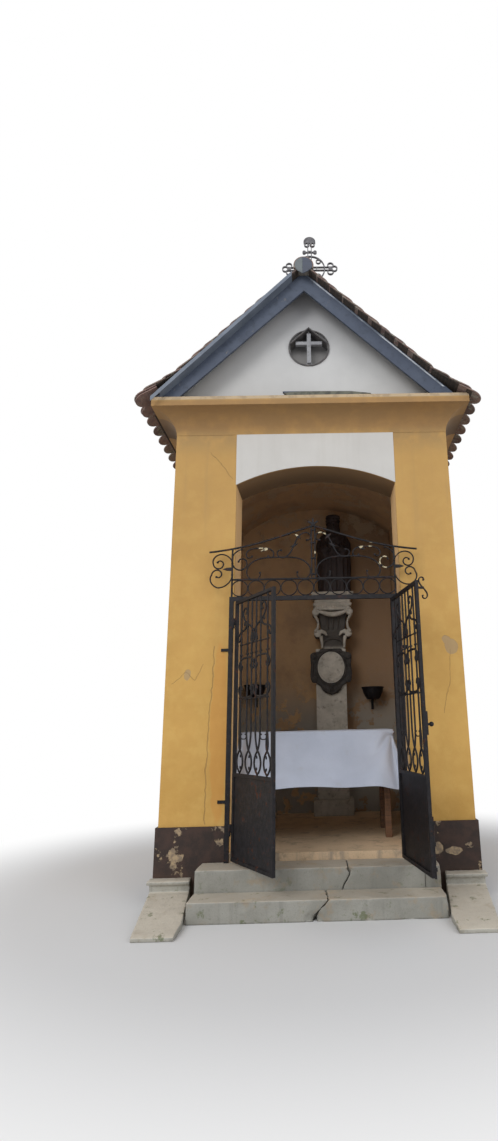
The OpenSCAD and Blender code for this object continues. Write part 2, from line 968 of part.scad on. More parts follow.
// Twin spirals that stand out beyond the post, above and below its middle
module end_scrolls() {
    m1 = [post_mid + 111, field_low + field_h * 0.29];
    m2 = [post_mid + 124, field_low + field_h * 0.08];
    leaf_z = (m1[1] + m2[1]) / 2;
    eyed_strand(concat(
        spiral(m1, 111, 52, 180, -180, 10), tail(spiral(m1, 52, 20, 0, -320, 14))), stem_w);
    eyed_strand(concat(
        spiral(m2, 124, 112, 180, 90, 6), tail(spiral(m2, 112, 52, 270, 90, 6)),
        tail(spiral(m2, 52, 20, 0, 300, 14))), stem_w);
    blade([
        [post_mid + 2, leaf_z - 16], [post_mid + 48, leaf_z - 13], [post_mid + 84, leaf_z],
        [post_mid + 48, leaf_z + 13], [post_mid + 2, leaf_z + 16]
    ]);
}

// The scrolls between the middle stem and the post on one side
module field_scrolls() {
    m = [post_mid - 76, field_low + field_h * 0.30];
    eyed_strand(concat(
        spiral(m, 120, 76, 90, -90, 8), tail(spiral(m, 76, 26, 0, -330, 18))), stem_w);
    eyed_strand(scroll(
        [post_mid * 0.2, field_low + 50], [post_mid * 0.66, field_low + 50], 290, 1, -1, 32), stem_w);
    eyed_strand(scroll(
        [post_mid * 0.078, field_low + field_h * 0.72], [post_mid * 0.40, field_low + field_h * 0.53],
        260, -1, 1, 28), stem_w);
    eyed_strand(scroll(
        [post_mid * 0.56, field_low + field_h * 0.42], [post_mid * 0.76, field_low + field_h * 0.42],
        250, 1, -1, 20), stem_w);
    // Leaf tips welded to the scrolls under the rail
    for (q = [[0.19, 0.79, 40], [0.60, 0.54, -20], [0.24, 0.62, 150]])
        translate([post_mid * q[0], field_low + field_h * q[1], 0])
            rotate(q[2])
                blade([[-40, -3], [0, 13], [40, 3], [6, -9]]);
}

module overthrow_pieces() {
    both_sides() {
        strand(bezier([-2, apex_z], [over_x * 0.25, apex_z - over_h * 0.1],
            [over_x * 0.54, apex_z - over_h * 0.285], [over_x, end_z], 12), rail_w);
        plate(post_mid - 8, post_mid + 8, transom_top + gap, end_z + 22);
        plate(9, 9 + stem_w, field_low - 2, apex_z - 8);
        for (i = [0 : 4])
            ring([(i + 0.5) * ring_pitch, transom_top + gap + ring_r], ring_r, 9);
        end_scrolls();
        field_scrolls();
    }
    plate(-post_mid - 8, post_mid + 8, rail_low, rail_low + rail_w);
    // Collars on the middle stem, and the flower on top of it
    for (q = [0.05, 0.35, 0.65, 0.9])
        plate(-24, 24, field_low + field_h * q, field_low + field_h * q + 14);
    translate([0, apex_z + 14, 0])
        union() {
            cylinder(h = thin_d, r = 20, $fn = 16);
            for (a = [30, 90, 150])
                rotate(a)
                    blade([[10, -9], [48, -7], [58, 0], [48, 7], [10, 9]]);
        }
}

module gate_overthrow() {
    color(iron)
        stand_up(gate_y + (bar_d - thin_d) / 2)
            union()
                overthrow_pieces();
}

// A leaf drawn closed, with its hinge axis on the Z axis and reaching towards +X
leaf_x0 = 8;
field_x0 = leaf_x0 + stile_w + gap;
field_x1 = leaf_reach - stile_w - gap;
leaf_mid = (field_x0 + field_x1) / 2;
bay = (field_x1 - field_x0) / 4;
leaf_rail = 26;
lattice_low = panel_h + leaf_rail + gap;
lattice_high = leaf_high - leaf_rail - gap;
lattice_h = lattice_high - lattice_low;
oval_z = lattice_low + lattice_h * 0.13;
fork_z = lattice_low + lattice_h * 0.235;

module leaf_frame() {
    union() {
        box(leaf_x0, leaf_x0 + stile_w, leaf_y0, leaf_y0 + bar_d, leaf_low, leaf_high);
        box(leaf_reach - stile_w, leaf_reach, leaf_y0, leaf_y0 + bar_d, leaf_low, leaf_high);
        for (z = [leaf_low, panel_h, leaf_high - leaf_rail])
            box(leaf_x0 + 1, leaf_reach - 1, leaf_y0, leaf_y0 + bar_d, z, z + leaf_rail);
        for (z = hinge_heights)
            translate([0, 0, z])
                difference() {
                    union() {
                        cylinder(h = knuckle_h, r = knuckle_r);
                        box(0, knuckle_r, 0, leaf_y0 + 6, 0, knuckle_h);
                    }
                    translate([0, 0, -1])
                        cylinder(h = knuckle_h + 2, r = pin_r + pin_play);
                }
    }
}

// What only the right leaf carries: lock case, knob, drop bolt and a small scroll on the stile's face
lock_h = 160;
lock_w = 95;
lock_out = 12;
knob_r = 17;
bolt_r = 7;
bolt_len = 380;
face_scroll_h = 120;

module leaf_fittings() {
    lock_z = leaf_low + (leaf_high - leaf_low) * 0.45;
    knob_at = [leaf_reach - lock_w / 3, lock_z + lock_h * 0.45];
    bolt_x = leaf_reach - stile_w / 2;
    union() {
        box(leaf_reach - lock_w, leaf_reach - 2, leaf_y0 - lock_out, leaf_y0 + 1, lock_z, lock_z + lock_h);
        translate([knob_at[0], leaf_y0 - lock_out + 1, knob_at[1]])
            rotate([90, 0, 0])
                cylinder(h = 30, r = knob_r / 2, $fn = 16);
        translate([knob_at[0], leaf_y0 - lock_out - 34, knob_at[1]])
            sphere(r = knob_r, $fn = 16);
        translate([bolt_x, leaf_y0 - bolt_r + 1, leaf_low - 8])
            cylinder(h = bolt_len, r = bolt_r, $fn = 16);
        for (q = [0.1, 0.5, 0.85])
            box(bolt_x - 13, bolt_x + 13, leaf_y0 - 2 * bolt_r - 2, leaf_y0 + 1,
                leaf_low + bolt_len * q, leaf_low + bolt_len * q + 22);
        box(bolt_x - 6, bolt_x + 6, leaf_y0 - 46, leaf_y0 + 1, leaf_high - 62, leaf_high - 46);
        translate([bolt_x - thin_d / 2, leaf_y0 - 40, leaf_high - 54])
            rotate([90, 0, 90])
                eyed_strand(scroll(
                    [-6, face_scroll_h / 2], [6, -face_scroll_h / 2], 250, -1, 1, 24), 8);
    }
}

module leaf_panel() {
    color(iron)
        box(field_x0, field_x1, leaf_y0 + 8, leaf_y0 + 12, leaf_low + leaf_rail + gap, panel_h - gap);
}

// One half of a leaf's open field, drawn to the right of the middle: two bays
module half_lattice() {
    top = lattice_high;
    z1 = lattice_low + lattice_h * 0.44;
    z2 = lattice_low + lattice_h * 0.64;
    for (b = [0.5, 1.5], s = [-1, 1])
        strand(concat(
            bezier([b * bay, lattice_low + strand_w * 0.45], [(b + s * 0.46) * bay, lattice_low + 50],
                [(b + s * 0.46) * bay, oval_z - 50], [b * bay, oval_z], 8),
            tail(bezier([b * bay, oval_z], [(b - s * 0.16) * bay, oval_z + 30],
                [(b - s * (b > 1 ? 0.06 : 0.25)) * bay, fork_z - 50],
                [(b - s * (b > 1 ? 0.02 : 0.25)) * bay, fork_z], 6))), strand_w);
    for (x = [0.25, 0.75, 1.5])
        plate(x * bay - strand_w / 2, x * bay + strand_w / 2, fork_z - 2, top);
    // Small scrolls in the ovals and between the forks
    for (b = [0.5, 1.5])
        eyed_strand(scroll(
            [b * bay - 12, lattice_low + 52], [b * bay - 12, oval_z - 52], 210, 1, -1, 14), 6);
    eyed_strand(scroll(
        [0.88 * bay, fork_z - 24], [1.32 * bay, fork_z - 24], 230, 1, 1, 16), 7);
    // Middle cluster: two long scrolls back to back across the bars
    eyed_strand(scroll([0.36 * bay, z1 + 45], [1.36 * bay, z1 + 45], 285, 1, 1, 28), strand_w);
    eyed_strand(scroll([0.36 * bay, z2 - 45], [1.36 * bay, z2 - 45], 285, 1, -1, 28), strand_w);
    // Top: a lyre of two opposed scrolls in each half
    eyed_strand(scroll([0.30 * bay, top - 300], [0.92 * bay, top - 105], 300, -1, 1, 28), strand_w);
    eyed_strand(scroll([1.66 * bay, top - 300], [1.12 * bay, top - 190], 280, -1, -1, 24), strand_w);
    // Collars on the bars, and flat ties that run across them
    for (z = [z1 - 40, z2 + 40, top - 360], x = [0.25, 0.75, 1.5])
        plate(x * bay - strand_w, x * bay + strand_w, z, z + 16);
    for (z = [z1 - 36, top - 356])
        plate(-1, 1.5 * bay, z, z + 8);
}

module leaf_scrolls() {
    color(iron)
        translate([leaf_mid, 0, 0])
            stand_up(leaf_y0 + (bar_d - thin_d) / 2)
                both_sides()
                    half_lattice();
}

// Puts a leaf that is drawn closed at its hinge, opened by the given angle; side is -1 for left, 1 for right
module hang(side, open) {
    translate([side * pin_x, pin_y, 0])
        rotate([0, 0, side * open])
            mirror([side > 0 ? 1 : 0, 0, 0])
                children();
}

module leaf_left_frame() {
    color(iron)
        hang(-1, left_open)
            leaf_frame();
}

module leaf_left_scrolls() {
    hang(-1, left_open)
        leaf_scrolls();
}

module leaf_left_panel() {
    hang(-1, left_open)
        leaf_panel();
}

module leaf_right_frame() {
    color(iron)
        hang(1, right_open)
            union() {
                leaf_frame();
                leaf_fittings();
            }
}

module leaf_right_scrolls() {
    hang(1, right_open)
        leaf_scrolls();
}

module leaf_right_panel() {
    hang(1, right_open)
        leaf_panel();
}

// Table
table_y = front_t + table_in;
table_z = floor_h + table_h;
board_h = 35;
leg_w = 55;
leg_in = 50;

module table_top() {
    color(wood)
        box(-table_w / 2, table_w / 2, table_y, table_y + table_d, table_z - board_h, table_z);
}

module table_legs() {
    rail_h = 80;
    low = table_z - board_h - rail_h;
    x1 = table_w / 2 - leg_in;
    y0 = table_y + leg_in;
    y1 = table_y + table_d - leg_in;
    color(wood)
        union() {
            for (s = [-1, 1], y = [y0, y1 - leg_w])
                translate([s * (x1 - leg_w / 2), 0, 0])
                    box(-leg_w / 2, leg_w / 2, y, y + leg_w, floor_h, table_z - board_h);
            for (y = [y0 + 15, y1 - 37])
                box(-x1 + 2, x1 - 2, y, y + 22, low, table_z - board_h);
            for (s = [-1, 1])
                translate([s * (x1 - leg_w / 2), 0, 0])
                    box(-11, 11, y0 + 2, y1 - 2, low, table_z - board_h);
        }
}

// Cloth as a thin shell: over the top, down the front in shallow folds and a little down each side
cloth_out = 8;
fold_n = 9;

module tablecloth() {
    z1 = table_z + gap;
    half = table_w / 2 + cloth_out;
    fold = 2 * half / fold_n;
    front = table_y - cloth_out;
    color([0.85, 0.86, 0.88])
        union() {
            box(-half, half, front, table_y + table_d, z1, z1 + cloth_t);
            translate([0, 0, z1 - cloth_drop])
                linear_extrude(cloth_drop + cloth_t)
                    polygon(strand_outline([for (i = [0 : 2 * fold_n])
                        [-half + i * fold / 2, front - (i % 2) * 9]], cloth_t));
            for (s = [-1, 1])
                translate([s * (half - cloth_t / 2), 0, 0])
                    box(-cloth_t / 2, cloth_t / 2, front, table_y + table_d, z1 - cloth_drop * 0.35, z1 + 1);
        }
}

// Pedestal
top_z_pedestal = floor_h + pedestal_h;
shaft_top = top_z_pedestal - capital_h;
shaft_y0 = inner_back - gap - shaft_d;
capital_shift = 30;
statue_shift = 60;

// Plain shaft with a broader foot
module pedestal_shaft() {
    foot_h = 160;
    color(stone)
        translate([pedestal_x, 0, 0])
            union() {
                box(-shaft_w / 2, shaft_w / 2, shaft_y0, inner_back - gap, floor_h, shaft_top);
                box(-shaft_w / 2 - 45, shaft_w / 2 + 45, shaft_y0 - 45, inner_back - gap,
                    floor_h, floor_h + foot_h);
            }
}

// Right half of the outline of the pedestal's top part, from the shaft up; half is its slab's half width
function capital_side(half) = [
    [half * 0.54, 0], [half * 0.57, capital_h * 0.23], [half * 0.84, capital_h * 0.25],
    [half * 0.84, capital_h * 0.33], [half * 0.64, capital_h * 0.35], [half * 0.64, capital_h * 0.50],
    [half * 0.92, capital_h * 0.53], [half * 0.92, capital_h * 0.64], [half * 0.80, capital_h * 0.67],
    [half * 0.84, capital_h * 0.78], [half * 0.93, capital_h * 0.86], [half, capital_h * 0.88],
    [half, capital_h]
];

module capital_outline(half) {
    right = capital_side(half);
    last = len(right) - 1;
    polygon(concat(right, [for (i = [last : -1 : 0]) [-right[i][0], right[i][1]]]));
}

module pedestal_capital() {
    half_y = shaft_d / 2 + 45;
    color(stone)
        translate([pedestal_x + capital_shift, 0, shaft_top])
            intersection() {
                along_y(shaft_y0 - capital_w, inner_back - gap)
                    capital_outline(capital_w / 2);
                along_x(-capital_w, capital_w)
                    translate([inner_back - gap - shaft_d / 2, 0])
                        capital_outline(half_y * 1.1);
            }
}

// Carved shield with curled corners on the shaft's face, hollowed for the oval plaque
cartouche_rz = cartouche_rx * 1.09;
cartouche_t = 42;
curl_out = 8;
cartouche_mid = shaft_top - gap - cartouche_rz;
plaque_rx = cartouche_rx * 0.65;
plaque_rz = cartouche_rx * 0.755;
plaque_up = cartouche_rx * 0.2;
plaque_in = 14;

// Right half of the shield's outline from its top edge down, in shares of its half width and half height
shield_side = [
    [0.50, 1.0], [0.56, 0.88], [0.86, 0.84], [1.0, 0.70], [0.96, 0.30], [1.0, -0.10], [0.97, -0.36],
    [0.72, -0.50], [0.52, -0.62], [0.44, -0.80], [0.26, -0.93], [0.0, -1.0]
];

module shield_outline() {
    last = len(shield_side) - 1;
    polygon(concat(
        [for (q = shield_side) [q[0] * cartouche_rx, q[1] * cartouche_rz]],
        [for (i = [last - 1 : -1 : 0]) [-shield_side[i][0] * cartouche_rx, shield_side[i][1] * cartouche_rz]]
    ));
}

module cartouche() {
    back = shaft_y0 - gap;
    front = back - cartouche_t;
    color([0.2, 0.2, 0.2])
        translate([pedestal_x, 0, cartouche_mid])
            difference() {
                union() {
                    along_y(front, back)
                        shield_outline();
                    for (s = [-1, 1], q = [[0.83, 0.66, 0.15], [0.80, -0.36, 0.14]])
                        translate([s * q[0] * cartouche_rx, back - 1, q[1] * cartouche_rz])
                            rotate([90, 0, 0])
                                cylinder(h = cartouche_t + curl_out - 1, r = q[2] * cartouche_rx, $fn = 24);
                    translate([0, back - 1, -0.80 * cartouche_rz])
                        rotate([90, 0, 0])
                            cylinder(h = cartouche_t + curl_out - 1, r = 0.17 * cartouche_rx, $fn = 24);
                }
                along_y(front - curl_out - 1, shaft_y0 - plaque_in)
                    translate([0, plaque_up])
                        polygon(ellipse(plaque_rx + 3, plaque_rz + 3, 40));
            }
}

// Bare oval plaque, slightly raised in its middle
module plaque() {
    back = shaft_y0 - plaque_in - gap;
    color(stone)
        translate([pedestal_x, 0, cartouche_mid + plaque_up])
            union() {
                along_y(back - 14, back)
                    polygon(ellipse(plaque_rx, plaque_rz, 40));
                along_y(back - 20, back - 13)
                    polygon(ellipse(plaque_rx * 0.86, plaque_rz * 0.88, 40));
            }
}

// Plain robed figure: a broad cloak over the shoulders, arms folded in front, a smooth head and a flat crown
statue_r = statue_h * 0.155;
shoulder_out = statue_h * 0.065;

// Right half of the robe's outline from the foot up, in shares of its radius and of the figure's height
robe_side = [
    [0, 0], [0.86, 0], [0.93, 0.12], [1.0, 0.32], [0.99, 0.44], [0.86, 0.56], [0.82, 0.66], [0.66, 0.74],
    [0.34, 0.78], [0, 0.79]
];

module robe(r, h) {
    rotate_extrude($fn = 28)
        polygon([for (q = robe_side) [q[0] * r, q[1] * h]]);
}

module statue() {
    r = statue_r;
    color([0.25, 0.2, 0.2])
        translate([pedestal_x + statue_shift, inner_back - r - 6, top_z_pedestal])
            union() {
                robe(r, statue_h);
                for (s = [-1, 1])
                    translate([s * shoulder_out, 0, 0])
                        robe(r * 0.96, statue_h * 0.955);
                translate([0, 0, statue_h * 0.76])
                    cylinder(h = statue_h * 0.06, r = r * 0.3);
                translate([0, 0, statue_h * 0.85])
                    sphere(r = r * 0.46, $fn = 24);
                translate([0, 0, statue_h * 0.87])
                    cylinder(h = statue_h * 0.13, r = r * 0.58);
                for (s = [-1, 1])
                    translate([s * r * 0.95, -r * 0.45, statue_h * 0.62])
                        rotate([118, 0, -s * 48])
                            cylinder(h = r * 1.15, r = r * 0.24, $fn = 16);
            }
}

// Planter: an open bowl on a bracket from the back wall
module planter(x, low) {
    wall = 9;
    foot_r = planter_r * 0.55;
    arm = planter_r + 6;
    color(iron)
        translate([x, inner_back - planter_r - 6 - gap, low])
            union() {
                difference() {
                    cylinder(h = planter_h, r1 = foot_r, r2 = planter_r);
                    translate([0, 0, wall])
                        cylinder(h = planter_h, r1 = foot_r - wall, r2 = planter_r - wall);
                }
                box(-12, 12, 0, arm, -10, 3);
                box(-20, 20, arm - 8, arm, -110, 30);
            }
}

module planter_right() {
    planter(inner_x - planter_r * 2.15, floor_h + pedestal_h * 0.495);
}

module planter_left() {
    planter(-inner_x + planter_r * 1.4, floor_h + pedestal_h * 0.515);
}

plinth();
front_pier_left();
front_pier_right();
front_head();
head_panel();
side_wall_left();
side_wall_right();
back_wall();
vault();
floor_slab();
cornice();
gable_front();
gable_back();
step_upper();
step_end_block();
step_lower();
edge_slab_left();
edge_slab_right();
roof_left();
roof_right();
ridge_tiles();
barge_boards_front();
barge_boards_back();
verge_strips();
ridge_cross();
oculus_cross();
oculus_hood();
gate_frame();
gate_overthrow();
leaf_left_frame();
leaf_left_scrolls();
leaf_left_panel();
leaf_right_frame();
leaf_right_scrolls();
leaf_right_panel();
table_top();
table_legs();
tablecloth();
pedestal_shaft();
cartouche();
plaque();
pedestal_capital();
statue();
planter_left();
planter_right();
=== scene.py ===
"""Wayside shrine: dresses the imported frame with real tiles, wrought bars, cloth, carving and weathered finishes."""
import bmesh
import bpy
import math
import random
from functools import reduce
from mathutils import Matrix, Vector, noise
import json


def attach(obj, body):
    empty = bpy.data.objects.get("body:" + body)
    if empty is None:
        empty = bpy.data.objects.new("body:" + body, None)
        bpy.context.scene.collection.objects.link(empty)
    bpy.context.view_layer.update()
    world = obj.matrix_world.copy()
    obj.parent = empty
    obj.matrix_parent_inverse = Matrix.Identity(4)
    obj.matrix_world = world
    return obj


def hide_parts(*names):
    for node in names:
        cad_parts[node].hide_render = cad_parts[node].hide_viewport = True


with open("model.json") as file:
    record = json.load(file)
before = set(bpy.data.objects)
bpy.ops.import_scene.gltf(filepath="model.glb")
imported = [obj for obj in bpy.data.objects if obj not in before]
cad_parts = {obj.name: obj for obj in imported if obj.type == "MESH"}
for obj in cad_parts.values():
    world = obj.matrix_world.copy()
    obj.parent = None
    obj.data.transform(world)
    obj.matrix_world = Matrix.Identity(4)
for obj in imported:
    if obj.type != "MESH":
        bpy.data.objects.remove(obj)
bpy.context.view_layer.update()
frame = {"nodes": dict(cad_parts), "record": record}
nodes = frame["nodes"]
scene = bpy.context.scene
MM = 0.001


# Helpers for shader nodes, objects, modifiers and faces
def rgb(r, g, b):
    def lin(c):
        c /= 255.0
        return c / 12.92 if c <= 0.04045 else ((c + 0.055) / 1.055) ** 2.4
    return (lin(r), lin(g), lin(b), 1.0)


def wire(tree, node, values):
    for key, value in values.items():
        if isinstance(value, bpy.types.NodeSocket):
            tree.links.new(value, node.inputs[key])
        else:
            node.inputs[key].default_value = value


def shader(tree, kind, values, out=0, **settings):
    node = tree.nodes.new("ShaderNode" + kind)
    for key, value in settings.items():
        setattr(node, key, value)
    wire(tree, node, values)
    return node.outputs[out]


def link(name, data):
    o = bpy.data.objects.new(name, data)
    scene.collection.objects.link(o)
    return o


def modify(o, kind, **settings):
    m = o.modifiers.new(kind.lower(), kind)
    for key, value in settings.items():
        setattr(m, key, value)
    return m


def circle(n, rx=1.0, rz=None):
    rz = rx if rz is None else rz
    return [(rx * math.cos(math.tau * k / n), rz * math.sin(math.tau * k / n)) for k in range(n)]


# Quads between rows of n points; wrap closes each row, ring joins the last row to the first
def quads(base, rows, n, wrap=True, ring=False, flip=False):
    faces = []
    for i in range(rows if ring else rows - 1):
        j = (i + 1) % rows
        for k in range(n if wrap else n - 1):
            m = (k + 1) % n
            a, b, c, d = base + i * n + k, base + j * n + k, base + j * n + m, base + i * n + m
            faces.append((a, d, c, b) if flip else (a, b, c, d))
    return faces


# The same, with a face over each end row
def tube_faces(base, rows, n, flip=False):
    first = [base + k for k in range(n)]
    last = [base + (rows - 1) * n + k for k in reversed(range(n))]
    if flip:
        first, last = first[::-1], last[::-1]
    return quads(base, rows, n, flip=flip) + [tuple(first), tuple(last)]


# Finishes: node materials in object coordinates, so that nothing slides when a view changes
class Finish:
    def __init__(self, name, rough):
        self.mat = bpy.data.materials.new(name)
        self.mat.use_nodes = True
        self.tree = self.mat.node_tree
        self.bsdf = self.tree.nodes["Principled BSDF"]
        self.at = self.tree.nodes.new("ShaderNodeTexCoord").outputs["Object"]
        self.rough = rough
        self.color = self.normal = None

    def add(self, kind, values, out=0, **settings):
        return shader(self.tree, kind, values, out, **settings)

    def vector(self, operation, a, b, out=0):
        return self.add("VectorMath", {0: a, 1: b}, out, operation=operation)

    def noise(self, scale, detail, rough=0.55, stretch=None, warp=0.0):
        at = self.vector("MULTIPLY", self.at, stretch) if stretch else self.at
        return self.add("TexNoise", {"Scale": scale, "Detail": detail, "Roughness": rough, "Distortion": warp,
                                     "Vector": at}, "Fac")

    def cells(self, scale, at=None):
        return self.add("TexVoronoi", {"Scale": scale, "Vector": at or self.at}, "Distance")

    def limit(self, value, low, high, a=0.0, b=1.0):
        return self.add("MapRange", {"Value": value, "From Min": low, "From Max": high, "To Min": a, "To Max": b},
                        interpolation_type="SMOOTHSTEP")

    # Mask of the places where noise lies above its limits
    def spots(self, scale, detail, rough, low, high):
        return self.limit(self.noise(scale, detail, rough), low, high)

    def calc(self, operation, a, b=0.0):
        return self.add("Math", {0: a, 1: b}, operation=operation)

    def both(self, *masks):
        return reduce(lambda a, b: self.calc("MULTIPLY", a, b), masks)

    def either(self, *masks):
        return reduce(lambda a, b: self.calc("MAXIMUM", a, b), masks)

    def mix(self, share, a, b):
        a, b = (rgb(*c) if isinstance(c, tuple) else c for c in (a, b))
        return self.add("Mix", {0: share, 6: a, 7: b}, 2, data_type="RGBA")

    def axis(self, i):
        return self.add("SeparateXYZ", {0: self.at}, i)

    # How far a surface faces up, from -1 to 1
    def facing_up(self):
        return self.add("SeparateXYZ", {0: self.add("NewGeometry", {}, "Normal")}, 2)

    # The object's own coordinates, pushed about by noise
    def wobble(self, size, scale):
        push = self.add("TexNoise", {"Scale": scale, "Detail": 3.0, "Vector": self.at}, "Color")
        push = self.vector("SUBTRACT", push, (0.5, 0.5, 0.5))
        push = self.add("VectorMath", {0: push, "Scale": size}, operation="SCALE")
        return self.vector("ADD", self.at, push)

    # Mask of a crack drawn in X and Z, from the least distance to its straight runs
    def crack(self, points, at, wide, narrow):
        flat = self.vector("MULTIPLY", at, (1.0, 0.0, 1.0))
        runs = []
        for (ax, az), (bx, bz) in zip(points, points[1:]):
            run = Vector((bx - ax, 0.0, bz - az))
            away = self.vector("SUBTRACT", flat, (ax, 0.0, az))
            share = self.add("Clamp", {0: self.vector("DOT_PRODUCT", away, run / run.length_squared, "Value")})
            near = self.add("VectorMath", {0: run, "Scale": share}, operation="SCALE")
            runs.append(self.vector("DISTANCE", away, near, "Value"))
        return self.limit(reduce(lambda a, b: self.calc("MINIMUM", a, b), runs), wide, narrow)

    # Soft-edged oval patch in X and Z
    def patch(self, x, z, rx, rz, at, edge):
        away = self.vector("SUBTRACT", at, (x, 0.0, z))
        away = self.vector("MULTIPLY", away, (1.0 / rx, 0.0, 1.0 / rz))
        return self.limit(self.add("VectorMath", {0: away}, "Value", operation="LENGTH"), 1.0, 1.0 - edge)

    # Base colour: two tones that a pattern divides
    def base(self, pattern, low, high, a, b):
        self.color = self.mix(self.limit(pattern, low, high), a, b)

    # A tone over the colour so far, at a share of the mask
    def lay(self, mask, tone, share=1.0):
        self.color = self.mix(self.both(mask, share) if share < 1.0 else mask, self.color, tone)

    def bump(self, height, distance, strength):
        values = {"Strength": strength, "Distance": distance, "Height": height}
        if self.normal is not None:
            values["Normal"] = self.normal
        self.normal = self.add("Bump", values, "Normal")

    def done(self):
        wire(self.tree, self.bsdf, {"Base Color": self.color, "Roughness": self.rough, "Normal": self.normal})
        return self.mat


def ochre_plaster():
    f = Finish("ochre_plaster", 0.9)
    x, y, z = (f.axis(i) for i in range(3))
    from_middle, up = f.calc("ABSOLUTE", x), f.facing_up()
    wob = f.wobble(0.05, 9.0)
    mid = f.noise(7.0, 6, 0.6)
    f.base(f.noise(1.3, 5, 0.6), 0.3, 0.7, (200, 157, 85), (184, 142, 73))
    f.lay(f.limit(mid, 0.42, 0.68), (206, 168, 98), 0.45)
    streak = f.limit(f.noise(1.0, 5, 0.6, (9.0, 9.0, 0.55)), 0.52, 0.74)
    f.lay(f.both(streak, f.limit(z, 1.4, 3.9)), (160, 130, 82), 0.5)
    # Painted shade that darkens the wall towards the top, and under the cornice dirt with painted shade
    f.lay(f.limit(z, 1.0, 3.8), (160, 127, 80), 0.55)
    f.lay(f.both(f.limit(z, 3.6, 3.9), f.limit(mid, 0.25, 0.6)), (136, 113, 80), 0.6)
    # The cornice: rain-bleached fascia with dirty edges, and painted shade in red-brown on its underside
    fascia = f.both(f.limit(z, 4.12, 4.13), f.limit(y, -0.19, -0.2))
    f.lay(fascia, (180, 160, 132), 0.85)
    f.lay(f.both(fascia, f.spots(16.0, 6, 0.65, 0.46, 0.6)), (126, 108, 88), 0.4)
    # Painted shade on the cove under the cornice
    f.lay(f.both(f.limit(z, 3.86, 3.96), f.limit(z, 4.13, 4.1)), (140, 104, 66), 0.55)
    # Splashes over the plinth
    f.lay(f.both(f.limit(z, 1.15, 0.5), f.spots(3.0, 6, 0.65, 0.38, 0.62)), (176, 134, 62), 0.55)
    # The front: bare grey spots, a re-plastered strip beside the left post, and cracks
    front = f.limit(y, 0.01, -0.01)
    grey = f.both(front, f.either(
        f.patch(1.115, 1.95, 0.035, 0.045, wob, 0.1),
        f.patch(1.15, 1.89, 0.06, 0.07, wob, 0.1),
        f.patch(-1.06, 1.70, 0.03, 0.045, wob, 0.15)))
    f.lay(grey, (140, 128, 112))
    f.lay(f.both(front, f.patch(-0.79, 1.25, 0.075, 0.75, wob, 0.12)), (196, 130, 56), 0.75)
    cracks = f.both(front, f.either(
        f.crack([(-0.84, 1.93), (-0.865, 1.5), (-0.885, 0.95), (-0.885, 0.55)], wob, 0.006, 0.002),
        f.crack([(-0.93, 3.72), (-0.83, 3.60), (-0.72, 3.45)], wob, 0.004, 0.001),
        f.crack([(-1.20, 1.62), (-1.08, 1.72), (-1.0, 1.66), (-0.93, 1.78)], wob, 0.0035, 0.001),
        f.crack([(1.05, 1.35), (1.12, 1.6), (1.14, 1.86)], wob, 0.003, 0.001)))
    f.lay(cracks, (92, 74, 52), 0.8)
    # Inside: the paint in painted shade, deeper painted shade in the right back corner and in the arch's soffit, and
    # painted light on the door's reveals
    inside = f.both(f.limit(y, 0.36, 0.40), f.limit(y, 2.10, 2.06), f.limit(from_middle, 0.92, 0.90))
    behind_arch = f.limit(y, 0.41, 0.39)
    soffit = f.both(f.limit(y, 0.005, 0.02), f.limit(up, -0.2, -0.6), behind_arch)
    f.lay(inside, (190, 156, 120), 0.85)
    # Painted shade on the soffit, darker deeper in
    f.lay(soffit, f.mix(f.limit(y, 0.0, 0.3), (120, 96, 72), (84, 68, 54)), 0.85)
    # Painted shade in the right back corner
    f.lay(f.both(inside, f.limit(x, 0.1, 0.45), f.limit(y, 1.8, 2.0)), (110, 84, 64), 0.6)
    reveal = f.both(f.limit(y, 0.005, 0.03), behind_arch, f.limit(from_middle, 0.80, 0.78), f.limit(up, -0.6, -0.2))
    # Painted light: the reveals lighter, as if lit
    f.lay(reveal, (246, 204, 150), 0.7)
    f.lay(f.both(inside, f.spots(2.6, 6, 0.65, 0.44, 0.66)), (146, 120, 96), 0.5)
    # Peeled and damp lower wall, flaked vault
    peel = f.both(inside, f.limit(z, 1.9, 1.2), f.spots(4.5, 7, 0.65, 0.44, 0.50))
    f.lay(peel, (150, 142, 130))
    flake = f.both(inside, f.limit(z, 3.3, 3.5), f.spots(3.4, 7, 0.7, 0.52, 0.56))
    f.lay(flake, (176, 158, 132), 0.45)
    f.bump(f.noise(5.0, 5, 0.5), 0.012, 0.6)
    f.bump(f.noise(120.0, 5, 0.6), 0.0016, 0.7)
    f.bump(f.calc("SUBTRACT", 1.0, f.either(grey, cracks, peel, flake)), 0.004, 0.9)
    f.rough = f.limit(mid, 0.3, 0.7, 0.82, 0.95)
    return f.done()


